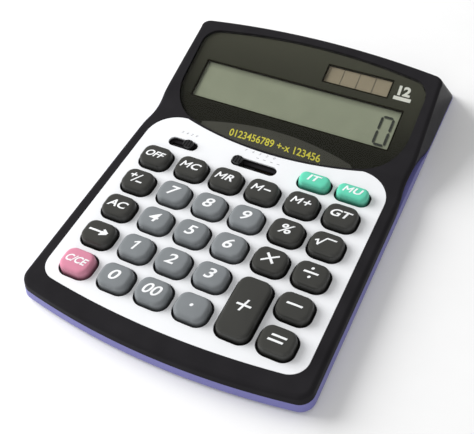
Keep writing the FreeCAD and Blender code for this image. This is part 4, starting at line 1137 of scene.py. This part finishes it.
LEGENDS = {
    "key_off": [("OFF", 0, 0, 5.2, 1.05)],
    "key_memory_clear": letter_m(-2.4, 4.4, 3.9) + [("C", 2.7, 0, 5.4, 1.2)],
    "key_memory_recall": letter_m(-2.4, 4.4, 3.9) + [("R", 2.6, 0, 5.4, 1.2)],
    "key_memory_minus": letter_m(-2.3, 4.4, 3.9) + [((1.0, 0), (4.4, 0))],
    "key_memory_plus": letter_m(-2.3, 4.4, 3.9) + [((1.0, 0), (4.6, 0)),
                                                   ((2.8, -1.7), (2.8, 1.7))],
    "key_grand_total": [("GT", 0, 0, 5.6, 1.25)],
    "key_sign": [((-4.6, 1.5), (-1.2, 1.5)), ((-2.9, 0), (-2.9, 3.0)),
                 ((-1.2, -2.6), (0.9, 2.8)), ((0.9, -1.9), (4.1, -1.9))],
    "key_percent": [("%", 0, 0, 7.2, 1.2)],
    "key_root": [((-5.0, -0.4), (-3.9, 0.3)), ((-4.1, 0.5), (-2.6, -2.4)),
                 ((-2.7, -2.5), (-1.0, 2.2)), ((-1.3, 2.1), (3.4, 2.1))],
    "key_all_clear": [("AC", 0, 0, 5.5, 1.2)],
    "key_multiply": [((-2.8, -2.3), (2.8, 2.3), THICK), ((-2.8, 2.3), (2.8, -2.3), THICK)],
    "key_divide": [((-3.3, 0), (3.3, 0), THICK), ("•", 0, 2.3, 4.4, 1.0), ("•", 0, -2.3, 4.4, 1.0)],
    "key_backspace": [((-4.6, 0), (2.6, 0), THICK), ((1.9, 1.7), (4.9, 0.1), 0.9),
                      ((1.9, -1.7), (4.9, -0.1), 0.9), ((1.8, -0.1), (4.3, -0.1), 1.6)],
    "key_plus": [((-3.3, 0), (3.3, 0), THICK), ((0, -3.1), (0, 3.1), THICK)],
    "key_minus": [((-3.5, 0), (3.5, 0), THICK)],
    "key_clear_entry": [("C/CE", 0, 0, 5.0, 0.95)],
    "key_double_zero": [("00", 0, 0, DIGIT, 1.1)],
    "key_point": [("•", 0, 0, 5.0, 1.0)],
    "key_equals": [((-3.3, 1.2), (3.3, 1.2), THICK), ((-3.3, -1.2), (3.3, -1.2), THICK)],
    "key_item": [("IT", 0, 0, 5.0, 1.35)],
    "key_markup": letter_m(-2.2, 4.0, 3.5) + [("U", 2.4, 0, 4.9, 1.2)],
}
for number in range(10):
    LEGENDS[f"key_{number}"] = [(str(number), 0, 0, DIGIT, 1.25)]
LEGENDS["key_1"] = [((0.4, -2.6), (0.4, 2.6), THICK), ((-1.5, 1.2), (0.2, 2.3))]
KEY_PLASTICS = (("key_grey", (0.20, 0.215, 0.225), 0.5), ("key_dark", (0.036, 0.036, 0.032), 0.48),
                ("key_pink", (0.64, 0.24, 0.34), 0.48), ("key_green", (0.12, 0.62, 0.43), 0.45))
# Each key plastic carries a painted shade, darker down the key's sides towards the plate.
KEY_LOOKS = {name: material(name, colour, rough=rough, grain=0.6, paint=side_shade)
             for name, colour, rough in KEY_PLASTICS}
SLOT_OF = {s["node"]: s["material_slot"] for s in frame["record"]["subparts"]}


def keys():
    for node in KEY_NODES:
        slot = SLOT_OF[node]
        crown = key_cap(node, KEY_LOOKS[slot])
        x, y, *_ = key_plan(node)
        marked(f"{node}_mark", LEGENDS[node], (x, y), crown, print_white, f"{node}_body", weight=BOLD)


def dome_mat():
    """The rubber sheet, and a dome under each key."""
    low, high = box_of("dome_mat")
    sheet_top = low.z + MAT_THICKNESS
    beyond = MAT_MARGIN - FLANGE_MARGIN
    step_x = box_of("key_item")[0].x - beyond
    step_y = box_of("key_off")[1].y + beyond
    corners = [(low.x, low.y), (high.x, low.y), (high.x, high.y), (step_x, high.y), (step_x, step_y),
               (low.x, step_y)]
    lower, upper = [[Vector((x, y, z)) for x, y in corners] for z in (low.z, sheet_top)]
    sheet = mesh_of("mat_sheet", strips([lower, upper]) + [lower, upper])
    dressed(sheet, mat_rubber, ["dome_mat"])
    base = sheet_top + FILM
    height = high.z - base
    profile = [(radius, base + share * height) for radius, share in DOME_PROFILE]
    for node in KEY_NODES:
        x, y, *_ = key_plan(node)
        faces = turned(x, y, profile, 24)
        dome = dressed(shaded(mesh_of(f"{node}_dome", faces)), mat_rubber)
        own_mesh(dome)


# Print on the plate and in the lens


SWITCH_MARKS = [(digit, x, 10.5, 1.9, 1.1) for digit, x in zip("5420", (-45.6, -42.9, -40.2, -37.5))]
SWITCH_MARKS += [(digit, x, 11.4, 1.9, 1.1) for digit, x in zip("F4320", (-10.1, -6.3, -2.5, 1.3, 5.1))]
SWITCH_MARKS += [((x - 0.7, 8.5), (x + 0.7, 8.5), 0.3) for x in (-5.4, -1.7, 2.0, 5.7)]
LIP_ROW = ("0123456789 +-x 123456", 1.0, 20.0, 6.8, 0.73)
COUNT = ("12", 51.2, FOLD_Y + 45.9 * math.cos(TILT), 6.8, 1.08)
BAR_Y = FOLD_Y + 41.4 * math.cos(TILT)
COUNT_BAR = ((46.9, BAR_Y), (55.7, BAR_Y), 1.9)


def prints():
    """The marks above the switches, the yellow row on the lip and the digit count."""
    marked("switch_marks", SWITCH_MARKS, (0, 0), level(PLATE_TOP), print_grey, "case",
           thickness=FINE_INK)
    for name, mark, look, slant, weight in (("lip_row", LIP_ROW, print_yellow, -0.2, 0.1),
                                            ("digit_count", COUNT, print_pale, -0.05, 0.3),
                                            ("count_bar", COUNT_BAR, print_pale, 0.0, 0.0)):
        marked(name, [mark], (0, 0), film_face, look, "case", slant, weight, FINE_INK)


# Switches


def knob(name):
    """A knob with round ends and three grip grooves, on the carrier that slides under the deck."""
    low, high = box_of(f"{name}_knob")
    x, y = middle_of(f"{name}_knob")
    track_floor = PLATE_TOP - ROOF + SLOT_FLOOR
    edge = quarter_round(KNOB_ROUND)
    faces = column(rounded(x, y, *KNOB), level(track_floor + KNOB_LIFT), level(high.z), (), edge)
    thing = mesh_of(f"{name}_slider", faces)
    for step in (-1, 0, 1):
        combine(thing, prism(rounded(x + step * GRIP_PITCH, y, *GRIP), high.z - GRIP_DEPTH, SKY))
    stem = prism(rounded(x, y, *STEM), low.z + CARRIER_THICKNESS / 2, track_floor + STEM_LAP)
    combine(thing, stem, "UNION")
    carrier = prism(rounded(x, y, *CARRIER), low.z, low.z + CARRIER_THICKNESS)
    combine(thing, carrier, "UNION")
    dressed(shaded(thing), knob_black, [f"{name}_knob"], f"{name}_switch")


# Screws and feet


def case_screws():
    """Pan heads with a cross recess, in their sinks under the case."""
    places = solid_places("case_screws")
    low, high = box_of("case_screws")
    profile = [(SCREW_SHANK, high.z)] + [(radius, low.z + lift) for radius, lift in SCREW_PROFILE]
    faces = []
    for x, y in places:
        faces += turned(x, y, profile, 32)
    screws = mesh_of("cross_screws", faces)
    for stroke in CROSS_STROKES:
        for x, y in places:
            combine(screws, prism(rounded(x, y, *stroke), low.z - 1, low.z + CROSS_DEPTH))
    dressed(shaded(screws), steel, ["case_screws"])


def rubber_feet():
    top = box_of("rubber_feet")[1].z
    profile = [(radius, top - drop) for radius, drop in FOOT_TOP] + list(FOOT_BOTTOM)
    faces = []
    for x, y in solid_places("rubber_feet"):
        faces += turned(x, y, profile)
    dressed(shaded(mesh_of("round_feet", faces)), foot_rubber, ["rubber_feet"])


# Solids that show as they are

CAD_LOOKS = {
    "lcd_panel": lcd_glass, "lcd_holder": inner_black, "lcd_ribbon": film_amber, "solar_cell": solar_glass,
    "solar_ribbon": film_amber, "main_board": board_brown, "controller_chip": epoxy_black,
    "button_cell": cell_steel, "upper_contact": spring_steel, "side_contact": spring_steel,
    "battery_ribbon": film_amber, "battery_cover": shell_blue, "board_screws": steel, "holder_screws": steel,
    "rounding_wiper": spring_steel, "decimal_wiper": spring_steel,
}

top_shell()
bottom_shell()
keypad_plate()
display_lens()
lens_film()
display_digit()
solar_lines()
keys()
dome_mat()
prints()
knob("rounding")
knob("decimal")
case_screws()
rubber_feet()
for node, look in CAD_LOOKS.items():
    thing = frame["nodes"][node]
    thing.data.materials.clear()
    thing.data.materials.append(look)

# Stage

CAMERA_PLACE = (0.113627, PLATE_FRONT * MM - 0.110931, 0.271597)
CAMERA_TURN = (38.566, 4.155, 26.350)
CAMERA_LENS = 55.085
SENSOR = 36.0

FLOOR_HALF = 8.0

floor_mesh = bpy.data.meshes.new("floor")
floor_corners = [(x * FLOOR_HALF, y * FLOOR_HALF, 0) for x, y in ((-1, -1), (1, -1), (1, 1), (-1, 1))]
floor_mesh.from_pydata(floor_corners, [], [(0, 1, 2, 3)])
floor = linked(bpy.data.objects.new("floor", floor_mesh))
floor_mesh.materials.append(material("floor_white", (0.93, 0.93, 0.93), rough=0.8, blotch=0.005, grain=0.1))


def area_light(name, place, size, power, mirrored):
    """A round lamp that looks at the middle of the case. Only a mirrored one shows in glossy surfaces."""
    data = bpy.data.lights.new(name, "AREA")
    data.shape = "DISK"
    data.size = size
    data.energy = power
    light = linked(bpy.data.objects.new(name, data))
    light.location = place
    light.rotation_euler = (-Vector(place)).to_track_quat("-Z", "Y").to_euler()
    light.visible_transmission = False
    light.visible_glossy = mirrored


area_light("key", (-1.05, 0.0, 0.60), 0.9, 21.0, False)
area_light("fill", (0.15, -0.9, 0.55), 0.5, 1.2, True)

world = bpy.data.worlds.new("studio")
world.use_nodes = True
background = world.node_tree.nodes["Background"]
background.inputs["Color"].default_value = (1, 1, 1, 1)
background.inputs["Strength"].default_value = 0.5
bpy.context.scene.world = world
bpy.context.scene.view_settings.view_transform = "Standard"

camera_data = bpy.data.cameras.new("camera")
camera_data.lens = CAMERA_LENS
camera_data.sensor_width = SENSOR
camera_data.clip_start = 0.01
camera = linked(bpy.data.objects.new("camera", camera_data))
camera.location = CAMERA_PLACE
camera.rotation_euler = Euler([math.radians(a) for a in CAMERA_TURN], "XYZ")
bpy.context.scene.camera = camera
